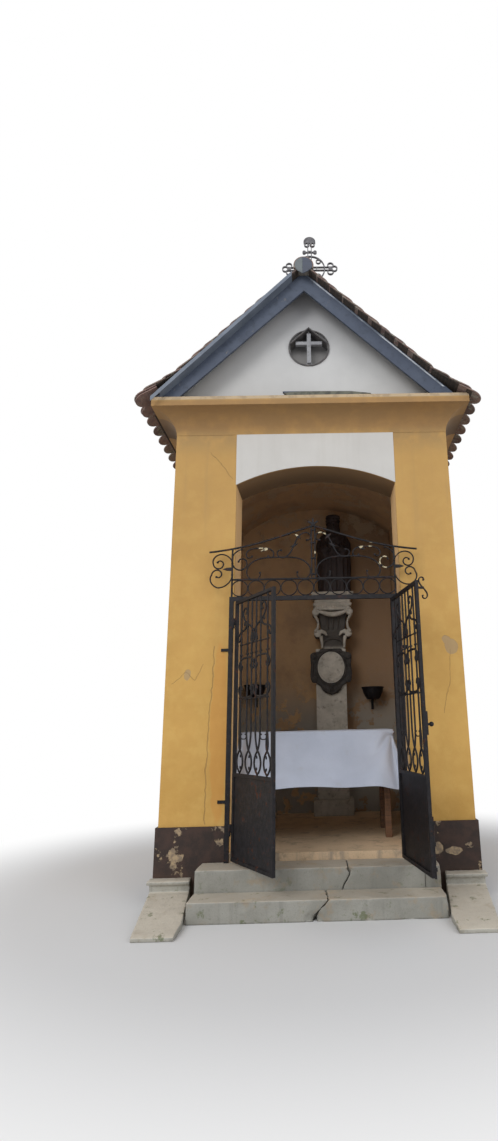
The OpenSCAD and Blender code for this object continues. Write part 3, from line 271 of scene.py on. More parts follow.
def white_plaster():
    f = Finish("white_plaster", 0.9)
    y, z = f.axis(1), f.axis(2)
    broad = f.noise(1.7, 5, 0.6)
    f.base(broad, 0.3, 0.7, (192, 189, 184), (185, 182, 177))
    f.lay(f.limit(f.noise(1.0, 6, 0.6, (11.0, 11.0, 0.7)), 0.5, 0.75), (172, 167, 158), 0.22)
    # The gables: cooler, dirty at their foot, and greyer towards their top, painted shade under the roof's overhang
    gable = f.limit(z, 4.0, 4.1)
    f.lay(gable, f.mix(f.limit(broad, 0.3, 0.7), (190, 189, 187), (180, 179, 177)))
    f.lay(f.both(gable, f.limit(z, 4.30, 4.16), f.spots(5.0, 6, 0.6, 0.35, 0.6)), (150, 142, 130), 0.4)
    # Painted shade: greyer towards the top
    f.lay(f.limit(z, 4.4, 5.4), (156, 156, 160), 0.6)
    # Inside the round recess the plaster is grey, and painted shade darkens it towards its top
    round_patch = f.patch(-0.015, 4.79, 0.186, 0.186, f.at, 0.04)
    recess = f.both(round_patch, f.limit(y, 0.012, 0.02), f.limit(y, 0.5, 0.4))
    f.lay(recess, f.mix(f.limit(z, 4.70, 4.90), (122, 120, 118), (66, 65, 66)))
    f.bump(f.noise(6.0, 4, 0.5), 0.008, 0.5)
    f.bump(f.noise(140.0, 5, 0.6), 0.0012, 0.6)
    return f.done()


def plinth_plaster():
    f = Finish("plinth_plaster", 0.85)
    wob = f.wobble(0.04, 16.0)
    f.base(f.noise(9.0, 6, 0.65), 0.35, 0.65, (64, 47, 40), (46, 36, 32))
    f.lay(f.limit(f.axis(2), 0.25, 0.05), (96, 74, 58), 0.6)
    peel = f.either(
        f.spots(5.0, 7, 0.7, 0.58, 0.61),
        f.patch(0.93, 0.33, 0.05, 0.045, wob, 0.1),
        f.patch(1.06, 0.31, 0.07, 0.03, wob, 0.1))
    f.lay(peel, f.mix(f.spots(30.0, 5, 0.6, 0.4, 0.6), (164, 142, 112), (126, 110, 92)))
    f.bump(f.calc("SUBTRACT", 1.0, peel), 0.004, 0.9)
    f.bump(f.noise(70.0, 6, 0.65), 0.003, 0.8)
    return f.done()


def concrete(name, a, b, stain, outdoors=True):
    f = Finish(name, 0.88)
    up = f.facing_up()
    broad, grain = f.noise(3.0, 6, 0.62), f.noise(90.0, 6, 0.65)
    f.base(broad, 0.32, 0.68, a, b)
    f.lay(f.limit(grain, 0.52, 0.75), (104, 100, 94), 0.55)
    f.lay(f.spots(7.0, 7, 0.7, 0.52, 0.66), stain, 0.75)
    upright = f.limit(f.calc("ABSOLUTE", up), 0.6, 0.4)
    runs = f.limit(f.noise(1.0, 6, 0.6, (14.0, 14.0, 1.2)), 0.5, 0.72)
    f.lay(f.both(upright, runs), (112, 110, 106), 0.6)
    if outdoors:
        # Painted light and shade: upright faces darker and greyer, faces turned up lighter
        f.lay(upright, (118, 116, 106), 0.4)
        f.lay(f.limit(up, 0.5, 0.9), (186, 172, 152), 0.5)
        moss = f.both(f.spots(11.0, 7, 0.7, 0.58, 0.64), f.limit(f.axis(2), 0.2, 0.02, 0.4, 1.0))
        f.lay(moss, (84, 92, 54), 0.7)
    f.bump(grain, 0.003, 0.8)
    f.bump(f.limit(f.cells(55.0), 0.16, 0.05), -0.003, 0.6)
    f.rough = f.limit(broad, 0.3, 0.7, 0.78, 0.95)
    return f.done()


# Each tile has a tone of its own, stored on its points
def clay_tile():
    f = Finish("clay_tile", 0.9)
    tone = f.add("Attribute", {}, "Fac", attribute_name="tone")
    f.base(tone, 0.0, 0.55, (98, 82, 78), (124, 98, 90))
    f.lay(f.limit(tone, 0.55, 1.0), (130, 112, 102))
    f.lay(f.spots(22.0, 6, 0.65, 0.4, 0.7), (78, 70, 68), 0.55)
    lichen = f.either(
        f.both(f.spots(16.0, 7, 0.7, 0.50, 0.60), f.spots(2.2, 3, 0.55, 0.3, 0.5)),
        f.limit(f.cells(34.0, f.wobble(0.02, 40.0)), 0.17, 0.10))
    f.lay(lichen, (140, 138, 126), 0.7)
    moss = f.both(f.spots(9.0, 7, 0.7, 0.60, 0.68), f.spots(1.5, 3, 0.55, 0.42, 0.62))
    f.lay(moss, (78, 80, 52), 0.8)
    f.bump(f.noise(60.0, 6, 0.65), 0.003, 0.9)
    f.bump(f.either(lichen, moss), 0.003, 0.6)
    return f.done()


def painted_board():
    f = Finish("painted_board", 0.7)
    grain = f.noise(1.0, 6, 0.6, (18.0, 160.0, 18.0))
    f.base(f.noise(3.0, 5, 0.6), 0.3, 0.7, (60, 68, 84), (70, 78, 93))
    f.lay(f.limit(grain, 0.5, 0.72), (40, 46, 56), 0.5)
    worn = f.both(f.spots(14.0, 7, 0.7, 0.60, 0.65), f.spots(2.0, 3, 0.55, 0.45, 0.6))
    f.lay(worn, (128, 122, 112), 0.8)
    # The loose slat on the ledge is bare weathered wood
    bare = f.mix(f.limit(grain, 0.4, 0.7), (92, 92, 80), (54, 54, 48))
    f.lay(f.patch(0.145, 4.165, 0.46, 0.034, f.at, 0.05), bare)
    f.bump(grain, 0.002, 0.8)
    f.bump(worn, -0.0015, 0.7)
    return f.done()


# The spots are pale marks where the bars glint, painted highlights, partly the old pale gilding that still shows: X, Z
# and radius of each
def black_iron(name="black_iron", glint_and_gilt_spots=()):
    f = Finish(name, 0.6)
    f.bsdf.inputs["Specular IOR Level"].default_value = 0.22
    f.base(f.noise(26.0, 6, 0.65), 0.35, 0.7, (17, 16, 18), (33, 30, 33))
    rusty = f.both(f.spots(17.0, 7, 0.7, 0.56, 0.64), f.spots(4.0, 3, 0.55, 0.42, 0.6))
    f.lay(rusty, (104, 62, 40), 0.45)
    chips = f.spots(70.0, 6, 0.7, 0.64, 0.67)
    f.lay(chips, (112, 106, 98), 0.4)
    if glint_and_gilt_spots:
        wob = f.wobble(0.02, 40.0)
        # Painted highlights: pale patches at the glints, partly old gilding
        glint_and_gilt = f.either(*[f.patch(x, z, r * 0.8, r * 0.8, wob, 0.3) for x, z, r in glint_and_gilt_spots])
        f.lay(f.both(glint_and_gilt, f.spots(60.0, 5, 0.6, 0.3, 0.48)), (184, 172, 142))
    f.bump(f.noise(38.0, 3, 0.5), 0.002, 0.6)
    f.bump(f.noise(150.0, 4, 0.6), 0.0006, 0.7)
    f.rough = f.limit(f.either(rusty, chips), 0.2, 0.8, 0.55, 0.9)
    return f.done()


def pale_metal():
    f = Finish("pale_metal", 0.5)
    f.base(f.noise(6.0, 6, 0.62), 0.3, 0.7, (142, 142, 144), (118, 118, 122))
    dirt = f.spots(24.0, 7, 0.7, 0.54, 0.66)
    f.lay(dirt, (104, 98, 90), 0.6)
    f.bump(f.noise(12.0, 5, 0.5), 0.003, 0.6)
    f.rough = f.limit(dirt, 0.0, 1.0, 0.45, 0.8)
    return f.done()


# Folded strips over the boards: dull grey at the left; at the right, bright patches as a painted highlight on the edge
def strip_metal():
    f = Finish("strip_metal", 0.6)
    f.base(f.noise(5.0, 6, 0.62), 0.3, 0.7, (106, 114, 126), (86, 94, 106))
    # Painted highlight on the right strip's edge
    f.lay(f.both(f.limit(f.axis(0), 0.0, 0.1), f.spots(2.2, 4, 0.6, 0.42, 0.56)), (196, 200, 206), 0.85)
    f.bump(f.noise(12.0, 5, 0.5), 0.003, 0.6)
    return f.done()


# The sheet at the ridge end is lighter left of its fold and darker right of it, painted light and shade on its two
# faces
def sheet_metal():
    f = Finish("ridge_end_sheet", 0.6)
    f.base(f.axis(0), -0.062, -0.056, (98, 104, 106), (66, 72, 86))
    f.lay(f.spots(14.0, 6, 0.6, 0.45, 0.7), (56, 58, 64), 0.5)
    f.bump(f.noise(18.0, 4, 0.5), 0.003, 0.6)
    return f.done()


def white_cloth():
    f = Finish("white_cloth", 0.85)
    f.bsdf.inputs["Sheen Weight"].default_value = 0.15
    x, y, z = (f.axis(i) for i in range(3))
    f.base(f.noise(3.0, 4, 0.5), 0.3, 0.7, (184, 190, 204), (172, 178, 192))
    f.lay(f.spots(9.0, 6, 0.6, 0.58, 0.74), (166, 166, 170), 0.3)
    hem = f.both(f.limit(z, 0.728, 0.724), f.limit(z, 0.716, 0.720))
    f.lay(hem, (150, 150, 156), 0.25)
    threads = 4200.0
    warp, weft = (f.calc("SINE", f.calc("MULTIPLY", q, threads)) for q in (x, f.calc("ADD", z, y)))
    f.bump(f.both(warp, weft), 0.0003, 0.6)
    f.bump(f.noise(40.0, 3, 0.5), 0.002, 0.5)
    return f.done()


# Grimy stone, darker in its hollows with dirt and painted shade; the neck is the capital's set-back core, painted
# nearly black as shade
def carved_stone(name, a, b, dirt, neck=False):
    f = Finish(name, 0.85)
    f.base(f.noise(8.0, 6, 0.62), 0.32, 0.68, a, b)
    f.lay(f.spots(14.0, 7, 0.68, 0.52, 0.68), dirt, 0.55)
    open_sky = f.add("AmbientOcclusion", {"Distance": 0.03}, "AO", samples=4)
    # Dirt and painted shade in the hollows, from ambient occlusion
    f.lay(f.limit(open_sky, 0.75, 0.3), dirt, 0.7)
    if neck:
        y, z = f.axis(1), f.axis(2)
        # Painted shade: the set-back neck is nearly black
        core = f.both(f.limit(y, 1.760, 1.785), f.limit(z, 2.10, 2.16), f.limit(z, 2.60, 2.54))
        f.lay(core, (58, 52, 48), 0.9)
    f.bump(f.noise(110.0, 6, 0.65), 0.0015, 0.8)
    return f.done()


# Plain finish: two tones, perhaps stains of a third, and one bump, which follows the grain where it names no noise.
# Noises are given by their scale, detail, roughness, stretch and warp.
def plain(name, rough, grain, low, high, a, b, bump, stain=None):
    f = Finish(name, rough)
    pattern = f.noise(*grain)
    f.base(pattern, low, high, a, b)
    if stain:
        spots, tone, share = stain
        f.lay(f.spots(*spots), tone, share)
    relief, distance, strength = bump
    f.bump(f.noise(*relief) if relief else pattern, distance, strength)
    return f.done()


finishes = {
    "ochre_plaster": ochre_plaster(),
    "white_plaster": white_plaster(),
    "plinth_plaster": plinth_plaster(),
    "concrete": concrete("concrete", (160, 158, 150), (138, 136, 128), (156, 136, 110)),
    "floor_concrete": concrete("floor_concrete", (214, 186, 152), (198, 172, 140), (156, 136, 114), False),
    "clay_tile": clay_tile(),
    "painted_board": painted_board(),
    "black_iron": black_iron(),
    "cast_cross": plain("cast_cross_metal", 0.6, (30.0, 6, 0.65), 0.35, 0.65, (72, 71, 74), (112, 110, 112),
                        ((90.0, 5, 0.6), 0.0015, 0.8), ((18.0, 7, 0.7, 0.56, 0.64), (74, 58, 50), 0.8)),
    "pale_metal": pale_metal(),
    "dark_metal": plain("dark_metal", 0.6, (20.0, 6, 0.65), 0.35, 0.65, (58, 56, 58), (84, 80, 78),
                        ((80.0, 5, 0.6), 0.0015, 0.8), ((30.0, 7, 0.7, 0.58, 0.66), (112, 104, 96), 0.7)),
    "table_wood": plain("table_wood", 0.6, (1.0, 6, 0.6, (4.0, 60.0, 60.0), 0.6), 0.35, 0.7, (118, 82, 54),
                        (84, 58, 40), (None, 0.0012, 0.8), ((8.0, 6, 0.6, 0.5, 0.7), (64, 48, 38), 0.5)),
    "white_cloth": white_cloth(),
    "carved_stone": carved_stone("carved_stone", (196, 190, 178), (170, 164, 152), (96, 90, 82), neck=True),
    "dark_stone": carved_stone("dark_stone", (74, 70, 66), (54, 51, 49), (24, 22, 21)),
    # The statue: dark paint, made darker still by painted shade under the vault
    "statue_paint": plain("statue_paint", 0.7, (12.0, 6, 0.62), 0.32, 0.68, (44, 37, 38), (58, 48, 47),
                          ((90.0, 5, 0.6), 0.0015, 0.7), ((20.0, 7, 0.68, 0.56, 0.68), (84, 74, 68), 0.5)),
}
mortar_finish = plain("mortar", 0.95, (20.0, 6, 0.65), 0.35, 0.65, (132, 126, 118), (96, 92, 86),
                      ((60.0, 6, 0.65), 0.006, 0.9))
sheathing_finish = plain("sheathing_wood", 0.85, (1.0, 6, 0.6, (50.0, 4.0, 50.0)), 0.35, 0.65, (66, 56, 48),
                         (46, 40, 36), (None, 0.0015, 0.8))
strip_finish = strip_metal()
slab_finish = concrete("slab_concrete", (192, 188, 176), (174, 170, 160), (150, 140, 122))
sheet_finish = sheet_metal()
# Overthrow iron with painted highlights at its glints, partly old pale gilding
glint_gilt_iron = black_iron("glint_and_gilt_iron_finish", (
    (-0.269, 2.802, 0.026), (-0.295, 2.758, 0.024), (-0.45, 2.752, 0.03), (-0.407, 2.751, 0.026),
    (-0.139, 2.877, 0.02), (-0.481, 2.407, 0.02), (-0.447, 2.424, 0.018), (0.061, 2.896, 0.022),
    (0.095, 2.877, 0.022), (0.075, 2.732, 0.03), (0.006, 2.716, 0.02), (0.302, 2.827, 0.02),
    (0.336, 2.791, 0.026), (0.413, 2.762, 0.024), (0.491, 2.778, 0.03), (0.541, 2.714, 0.02),
    (0.617, 2.677, 0.03), (0.588, 2.64, 0.03), (0.571, 2.615, 0.026), (0.61, 2.57, 0.03)))
slots = {p["node"]: p["material_slot"] for p in frame["record"]["subparts"]}

for name, o in nodes.items():
    o.data.materials.clear()
    o.data.materials.append(strip_finish if name == "verge_strips" else finishes[slots[name]])


# Mesh pieces, given in millimetres unless the unit says otherwise
def piece(name, verts, faces, slot, stands_for=None, finish=None, body="root", smooth=True, unit=MM):
    mesh = bpy.data.meshes.new(name)
    mesh.from_pydata([[q * unit for q in v] for v in verts], [], faces)
    mesh.update()
    mesh.materials.append(finish or finishes[slot])
    o = link(name, mesh)
    if smooth:
        mesh.shade_smooth()
    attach(o, body)
    if stands_for:
        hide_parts(stands_for)
    return o


def soften(width, *names):
    for n in names:
        modify(nodes[n], "WELD", merge_threshold=0.00002)
        modify(nodes[n], "BEVEL", width=width, segments=2, limit_method="ANGLE", angle_limit=math.radians(35),
               harden_normals=False)


# Sizes in millimetres, as in the part's own source
wall_h, wall_d, roof_rise, verge_out, ridge_left = 4155.0, 2400.0, 1389.0, 290.0, 50.0
eave_x, kick_x, ridge_h = 1565.0, 1175.0, wall_h + roof_rise
roof_pitch, kick_pitch = math.radians(44.5), math.radians(34.0)
kick_h = ridge_h - kick_x * math.tan(roof_pitch)
tile_t, tile_w, tile_course = 36.0, 198.0, 160.0
roof_y0, roof_y1 = -verge_out, wall_d + verge_out
roof_run = roof_y1 - roof_y0
main_courses = round(kick_x / math.cos(roof_pitch) / tile_course)
tip_back = tile_w / 2 * math.cos(kick_pitch)
tile_count = round(roof_run / tile_w)
tile_pitch = roof_run / tile_count
foot_courses = round((eave_x - tip_back - kick_x) / math.cos(kick_pitch) / tile_course)
ridge_mid = ridge_h - 87.0 * 0.67


def reach_of(s):
    return eave_x + s * ridge_left / 2


def top_z(x):
    if x < kick_x:
        return ridge_h - x * math.tan(roof_pitch)
    return kick_h - (x - kick_x) * math.tan(kick_pitch)


def course_x(i, reach):
    if i <= main_courses:
        return kick_x * i / main_courses
    return kick_x + (reach - tip_back - kick_x) * (i - main_courses) / foot_courses


def add_tones(o, tones):
    o.data.attributes.new("tone", "FLOAT", "POINT").data.foreach_set("value", tones)


# One plain tile with a round lower end: u across, v up the slope from the tip, w out of the roof
def tile_rings(width, length, depth, thick):
    half, steps = width / 2, 10
    bend = [math.pi * k / steps for k in range(steps + 1)]
    line = [(-half, length), (-half, length * 0.6)]
    line += [(-half * math.cos(a), depth * (1 - math.sin(a))) for a in bend]
    line += [(half, length * 0.6), (half, length)]
    inner = [(u * (1 - 5.0 / half), v + 4.0 * (1 if v < depth else 0)) for u, v in line]
    return [[(u, v, thick) for u, v in inner], [(u, v, thick - 3.0) for u, v in line], [(u, v, 0.0) for u, v in line]]


# One slope in lapped courses, with every other course shifted by half a tile; s is -1 on the left
def roof_side(name, s, seed, stands_for):
    rng = random.Random(seed)
    verts, faces, tones = [], [], []
    reach, thick = reach_of(s), 13.0
    tilt = math.atan2(thick, tile_course)
    courses = main_courses + foot_courses + 1
    for i in range(1, courses + 1):
        last = i == courses
        x_tip = reach if last else course_x(i, reach)
        z_tip = top_z(x_tip) - (tile_t * 0.4 * 0.9 if last else 0.0)
        pitch, longest = (roof_pitch, 290.0) if x_tip <= kick_x + 1 else (kick_pitch, 235.0)
        length = min(longest, x_tip / math.cos(pitch) - 8.0)
        if i % 2:
            spots = [(roof_y0 + tile_pitch * (k + 0.5), tile_pitch, 0.0) for k in range(tile_count)]
        else:
            spots = [(roof_y0 + tile_pitch * (k + 1), tile_pitch, 0.0) for k in range(tile_count - 1)]
            spots.insert(0, (roof_y0 + tile_pitch / 4, tile_pitch / 2, 0.0))
            spots.append((roof_y1 - tile_pitch / 4, tile_pitch / 2, 0.0))
        # A second tile lies under the lowest one at the left front corner
        if last and s < 0:
            spots += [(spots[0][0] + 6.0, spots[0][1], 17.0), (spots[1][0] + 3.0, spots[1][1], 15.0)]
        for y_mid, width, under in spots:
            w = width - 3.0 - rng.random() * 2.0
            tone = rng.random()
            slip = rng.uniform(-4.0, 3.0)
            lift = rng.uniform(0.0, 1.8)
            yaw = math.radians(rng.uniform(-0.7, 0.7))
            rings = tile_rings(w, length, 86.0 if width > 150 else 60.0, thick)
            new = tube_faces(len(verts), len(rings), len(rings[0]))
            faces += new if s < 0 else [tuple(reversed(f)) for f in new]
            for u, v, h in sum(rings, []):
                across = u * math.cos(yaw) - (v - length) * math.sin(yaw) * 0.4
                along = v + u * math.sin(yaw) + slip
                out = h - thick + lift - under - along * math.sin(tilt)
                x = x_tip - math.cos(pitch) * along + math.sin(pitch) * out
                z = z_tip + math.sin(pitch) * along + math.cos(pitch) * out
                verts.append((s * max(x, 2.0) - ridge_left, y_mid + across, z))
                tones.append(tone)
    add_tones(piece(name, verts, faces, "clay_tile", stands_for, smooth=False), tones)


# Boards under the tiles, one bent sheet a side
def sheathing():
    verts, faces = [], []
    edge, board = 12.0, 9.0
    for s in (-1, 1):
        base = len(verts)
        for x in (1.0, kick_x, reach_of(s) - tip_back - 10.0):
            pitch = roof_pitch if x < kick_x - 1 else kick_pitch
            low = top_z(x) - tile_t / math.cos(pitch) + 1.0
            y0, y1, high = roof_y0 + edge, roof_y1 - edge, low + board
            verts += [(s * x - ridge_left, y, z) for y, z in ((y0, low), (y0, high), (y1, high), (y1, low))]
        faces += tube_faces(base, 3, 4)
    piece("roof_sheathing", verts, faces, "clay_tile", finish=sheathing_finish, smooth=False)


# Points of an arc in X and Z round the ridge's middle, which reaches below the half round by dip on both sides
def ridge_arc(r, y, dip, steps, roll=0.0):
    out = []
    for k in range(steps + 1):
        a = -dip + (math.pi + 2 * dip) * k / steps + roll
        here = r(k) if callable(r) else r
        out.append((here * math.cos(a) - ridge_left, y, ridge_mid + here * math.sin(a)))
    return out


# Ridge tiles: tapered half rounds, each lapping the next
def ridge_caps():
    rng = random.Random(5)
    verts, faces, tones = [], [], []
    count, steps, out = 8, 16, 12.0
    n = 2 * (steps + 1)
    pitch = (roof_run + 2 * out) / count
    for i in range(count):
        y0 = roof_y0 - out + pitch * i
        y1 = min(y0 + pitch + 45.0, roof_y1 + out)
        tone = rng.random()
        roll = math.radians(rng.uniform(-1.5, 1.5))
        rows = [(y0, 94.0, 14.0), (y0 + 6, 96.0, 16.0), (y0 + 48, 95.0, 15.0), (y0 + 56, 88.0, 12.0),
                (y1 - 4, 82.0, 11.0), (y1, 80.0, 9.0)]
        base, last = len(verts), len(verts) + n * (len(rows) - 1)
        for y, r, t in rows:
            verts += ridge_arc(r, y, math.radians(20), steps, roll)
            verts += reversed(ridge_arc(r - t, y, math.radians(20), steps, roll))
        faces += quads(base, len(rows), n)
        for k in range(steps):
            faces.append((base + k, base + k + 1, base + n - 2 - k, base + n - 1 - k))
            faces.append((last + n - 1 - k, last + n - 2 - k, last + k + 1, last + k))
        tones += [tone] * n * len(rows)
    add_tones(piece("ridge_caps", verts, faces, "clay_tile", "ridge_tiles", smooth=False), tones)


# Mortar: a rough half round inside the caps that shows at their ends and edges
def ridge_mortar():
    verts, count, steps = [], 61, 16
    for j in range(count):
        y = roof_y0 + 4.0 + (roof_run - 8.0) * j / (count - 1)

        def rough(k):
            if k in (0, steps):
                return 98.0 + 6.0 * noise.noise(Vector((k * 0.7, y * 0.03, 4.0)))
            return 75.0 + 2.5 * noise.noise(Vector((k * 0.7, y * 0.02, 0.0)))
        verts += ridge_arc(rough, y, math.radians(24), steps)
    piece("ridge_mortar", verts, tube_faces(0, count, steps + 1), "clay_tile", finish=mortar_finish)


# A folded sheet closes the front end, with an upright fold a little left of its middle
def ridge_end_sheet():
    r, steps = 84, 20
    bend = [math.radians(210 - 240 * k / steps) for k in range(steps + 1)]
    line = [(r * math.cos(a), r * math.sin(a)) for a in bend] + [(40, -70), (-9, -96), (-52, -66)]
    n, verts = len(line), []
    for y, grow in ((roof_y0 - 14.5, 1.0), (roof_y0 - 8.0, 1.01)):
        verts += [(x * grow - ridge_left, y, ridge_mid + z * grow) for x, z in line]
    for y, x in ((roof_y0 - 17.0, -9.0), (roof_y0 - 12.5, 0.0)):
        verts += [(x - ridge_left, y, ridge_mid + z) for z in (82.0, -92.0)]
    faces = [tuple(range(n))] + quads(0, 2, n) + [(2 * n, 2 * n + 1, 2 * n + 3, 2 * n + 2)]
    piece("ridge_end_sheet", verts, faces, "dark_metal", finish=sheet_finish, smooth=False)


roof_side("tiles_left", -1, 11, "roof_left")
roof_side("tiles_right", 1, 23, "roof_right")
sheathing()
ridge_caps()
ridge_mortar()
ridge_end_sheet()


# Wrought work: every bar is swept with a chamfered section along the same lines as the solids.
# The curves are lists of points in X and Z.
def scroll(a, b, turn, kind, hand, n):
    p, q = 0j, [0j]
    for i in range(1, 2 * n + 1):
        t = (2 * i - 1 - 2 * n) / (2 * n)
        h = math.radians(-kind * turn * (-t) ** 2.5 if t < 0 else turn * t ** 2.5)
        p += complex(math.cos(h), hand * math.sin(h))
        q.append(p)
    m = complex(b[0] - a[0], b[1] - a[1]) / q[-1]
    return [(a[0] + (c * m).real, a[1] + (c * m).imag) for c in q]


def bezier(a, b, c, d, n):
    out = []
    for i in range(n + 1):
        t = i / n
        u = 1 - t
        out.append(tuple(a[k] * u ** 3 + b[k] * 3 * u * u * t + c[k] * 3 * u * t * t + d[k] * t ** 3 for k in (0, 1)))
    return out


def spiral(m, r0, r1, a0, sweep, n):
    out = []
    for i in range(n + 1):
        a, r = math.radians(a0 + sweep * i / n), r0 + (r1 - r0) * i / n
        out.append((m[0] + r * math.cos(a), m[1] + r * math.sin(a)))
    return out


class Forge:
    def __init__(self, y_front, depth):
        self.v, self.f = [], []
        self.y = y_front + depth / 2
        self.depth = depth

    # A bar with eight sides; thin is its width at the ends as a share
    def bar(self, pts, w, d=None, thin=1.0, closed=False):
        d = d or self.depth
        n, base = len(pts), len(self.v)
        for i, p in enumerate(pts):
            a = pts[(i - 1) % n] if closed else pts[max(i - 1, 0)]
            b = pts[(i + 1) % n] if closed else pts[min(i + 1, n - 1)]
            t = Vector((b[0] - a[0], b[1] - a[1])).normalized()
            edge = 1.0 if closed else min(1.0, thin + (1 - thin) * min(i, n - 1 - i) / (n * 0.25))
            u, h = w * edge / 2, d * (0.5 + 0.5 * edge) / 2
            c = 0.6 * min(u, h)
            for x, y in ((u, c - h), (u, h - c), (u - c, h), (c - u, h),
                         (-u, h - c), (-u, c - h), (c - u, -h), (u - c, -h)):
                self.v.append((p[0] - t[1] * x, self.y + y, p[1] + t[0] * x))
        self.f += quads(base, n, 8, ring=True) if closed else tube_faces(base, n, 8)

    def knob(self, p, r, depth):
        rows, cols = 6, 12
        self.f += quads(len(self.v), rows + 1, cols, flip=True)
        for i in range(rows + 1):
            a = math.pi * i / rows
            self.v += [(p[0] + x, self.y - depth / 2 * math.cos(a), p[1] + z) for x, z in circle(cols, r * math.sin(a))]

    def eyed(self, pts, w):
        self.bar(pts, w, thin=0.8)
        for p in (pts[0], pts[-1]):
            self.knob(p, w * 0.85, self.depth * 1.05)

    def plate(self, x0, x1, z0, z1, d=None):
        x, z = (x0 + x1) / 2, (z0 + z1) / 2
        if x1 - x0 > z1 - z0:
            self.bar([(x0, z), (x1, z)], z1 - z0, d)
        else:
            self.bar([(x, z0), (x, z1)], x1 - x0, d)

    def ring(self, m, r, w):
        self.bar([(m[0] + x, m[1] + z) for x, z in circle(40, r - w / 2)], w, closed=True)

    # Leaf tip with a raised middle vein
    def leaf(self, at, angle, outline):
        c, s = math.cos(math.radians(angle)), math.sin(math.radians(angle))
        pts = [(at[0] + x * c - z * s, at[1] + x * s + z * c) for x, z in outline]
        n, base = len(pts), len(self.v)
        mid = [sum(q) / n for q in zip(*pts)]
        for y in (self.y - 3.0, self.y + 3.0):
            self.v += [(p[0], y, p[1]) for p in pts]
        self.v += [(mid[0], self.y - 6.5, mid[1]), (mid[0], self.y + 6.5, mid[1])]
        for k in range(n):
            m = (k + 1) % n
            self.f.append((base + k, base + m, base + 2 * n))
            self.f.append((base + n + m, base + n + k, base + 2 * n + 1))
            self.f.append((base + m, base + k, base + n + k, base + n + m))

    def mirrored(self):
        n = len(self.v)
        self.v += [(-x, y, z) for x, y, z in self.v]
        self.f += [tuple(n + i for i in reversed(f)) for f in self.f]

    def finish(self, name, body, stands_for, place=Matrix(), finish=None):
        verts = [place @ (Vector(v) * MM) for v in self.v]
        o = piece(name, verts, self.f, "black_iron", stands_for, finish, body, unit=1.0)
        bm = bmesh.new()
        bm.from_mesh(o.data)
        bmesh.ops.recalc_face_normals(bm, faces=bm.faces)
        bm.to_mesh(o.data)
        bm.free()
        modify(o, "EDGE_SPLIT", split_angle=math.radians(50))


post_in, post_w, transom_h, gap = 677.5, 36.0, 2300.0, 0.3
post_mid = post_in + post_w / 2
transom_top = transom_h + post_w
gate_y, bar_d, thin_d = -95.0, 25.0, 12.0
ring_out, ring_w, over_h, over_x = 72.0, 9, 660.0, 895.0
rail_w, stem_w = 16.0, 12.0
rail_low = transom_top + gap + 2 * ring_out - 3
apex_z = transom_h + over_h
end_z = apex_z - over_h * 0.345
field_low = rail_low + rail_w
field_h = apex_z - field_low
ring_pitch = 2 * ring_out - 4


# The overthrow's right half is drawn and mirrored, then the pieces on its middle are added
def overthrow():
    def at(qx, qz, up=0.0):
        return post_mid * qx, field_low + field_h * qz + up
    g = Forge(gate_y + (bar_d - thin_d) / 2, thin_d)
    g.bar(bezier((-2, apex_z), (over_x * 0.25, apex_z - over_h * 0.1), (over_x * 0.54, apex_z - over_h * 0.285),
                 (over_x, end_z), 30), rail_w)
    g.plate(post_mid - 8, post_mid + 8, transom_top + gap, end_z + 22)
    g.plate(9, 9 + stem_w, field_low - 2, apex_z - 8)
    for i in range(5):
        g.ring(((i + 0.5) * ring_pitch, transom_top + gap + ring_out), ring_out, ring_w)
    m1, m2, m3 = ((post_mid + x, field_low + field_h * q) for x, q in ((111, 0.29), (124, 0.08), (-76, 0.30)))
    g.eyed(spiral(m1, 111, 52, 180, -180, 20) + spiral(m1, 52, 20, 0, -320, 30)[1:], stem_w)
    g.eyed(spiral(m2, 124, 112, 180, 90, 12) + spiral(m2, 112, 52, 270, 90, 12)[1:]
           + spiral(m2, 52, 20, 0, 300, 30)[1:], stem_w)
    g.eyed(spiral(m3, 120, 76, 90, -90, 16) + spiral(m3, 76, 26, 0, -330, 36)[1:], stem_w)
    g.leaf((post_mid, (m1[1] + m2[1]) / 2), 0, [(2, -16), (48, -13), (84, 0), (48, 13), (2, 16)])
    g.eyed(scroll(at(0.2, 0, 50), at(0.66, 0, 50), 290, 1, -1, 32), stem_w)
    g.eyed(scroll(at(0.078, 0.72), at(0.40, 0.53), 260, -1, 1, 28), stem_w)
    g.eyed(scroll(at(0.56, 0.42), at(0.76, 0.42), 250, 1, -1, 20), stem_w)
    for qx, qz, a in ((0.19, 0.79, 40), (0.60, 0.54, -20), (0.24, 0.62, 150)):
        g.leaf(at(qx, qz), a, [(-40, -3), (0, 13), (40, 3), (6, -9)])
    g.mirrored()
    g.plate(-post_mid - 8, post_mid + 8, rail_low, rail_low + rail_w)
    for q in (0.05, 0.35, 0.65, 0.9):
        g.plate(-24, 24, field_low + field_h * q, field_low + field_h * q + 14, 17)
    g.knob((0, apex_z + 14), 20, 18)
    for a in (30, 90, 150):
        g.leaf((0, apex_z + 14), a, [(10, -9), (48, -7), (58, 0), (48, 7), (10, 9)])
    g.finish("overthrow_bars", "root", "gate_overthrow", finish=glint_gilt_iron)


pin_x, pin_y = 672.5, -105.0
leaf_reach, leaf_x0, leaf_y0, stile_w = pin_x - 5, 8.0, 10.0, 30.0
leaf_high, leaf_rail, panel_h, strand_w = 2290.0, 26.0, 900.0, 15.0
field_x0, field_x1 = leaf_x0 + stile_w + gap, leaf_reach - stile_w - gap
leaf_mid, bay = (field_x0 + field_x1) / 2, (field_x1 - field_x0) / 4
lattice_low, lattice_high = panel_h + leaf_rail + gap, leaf_high - leaf_rail - gap
lattice_h = lattice_high - lattice_low
oval_z, fork_z = lattice_low + lattice_h * 0.13, lattice_low + lattice_h * 0.235


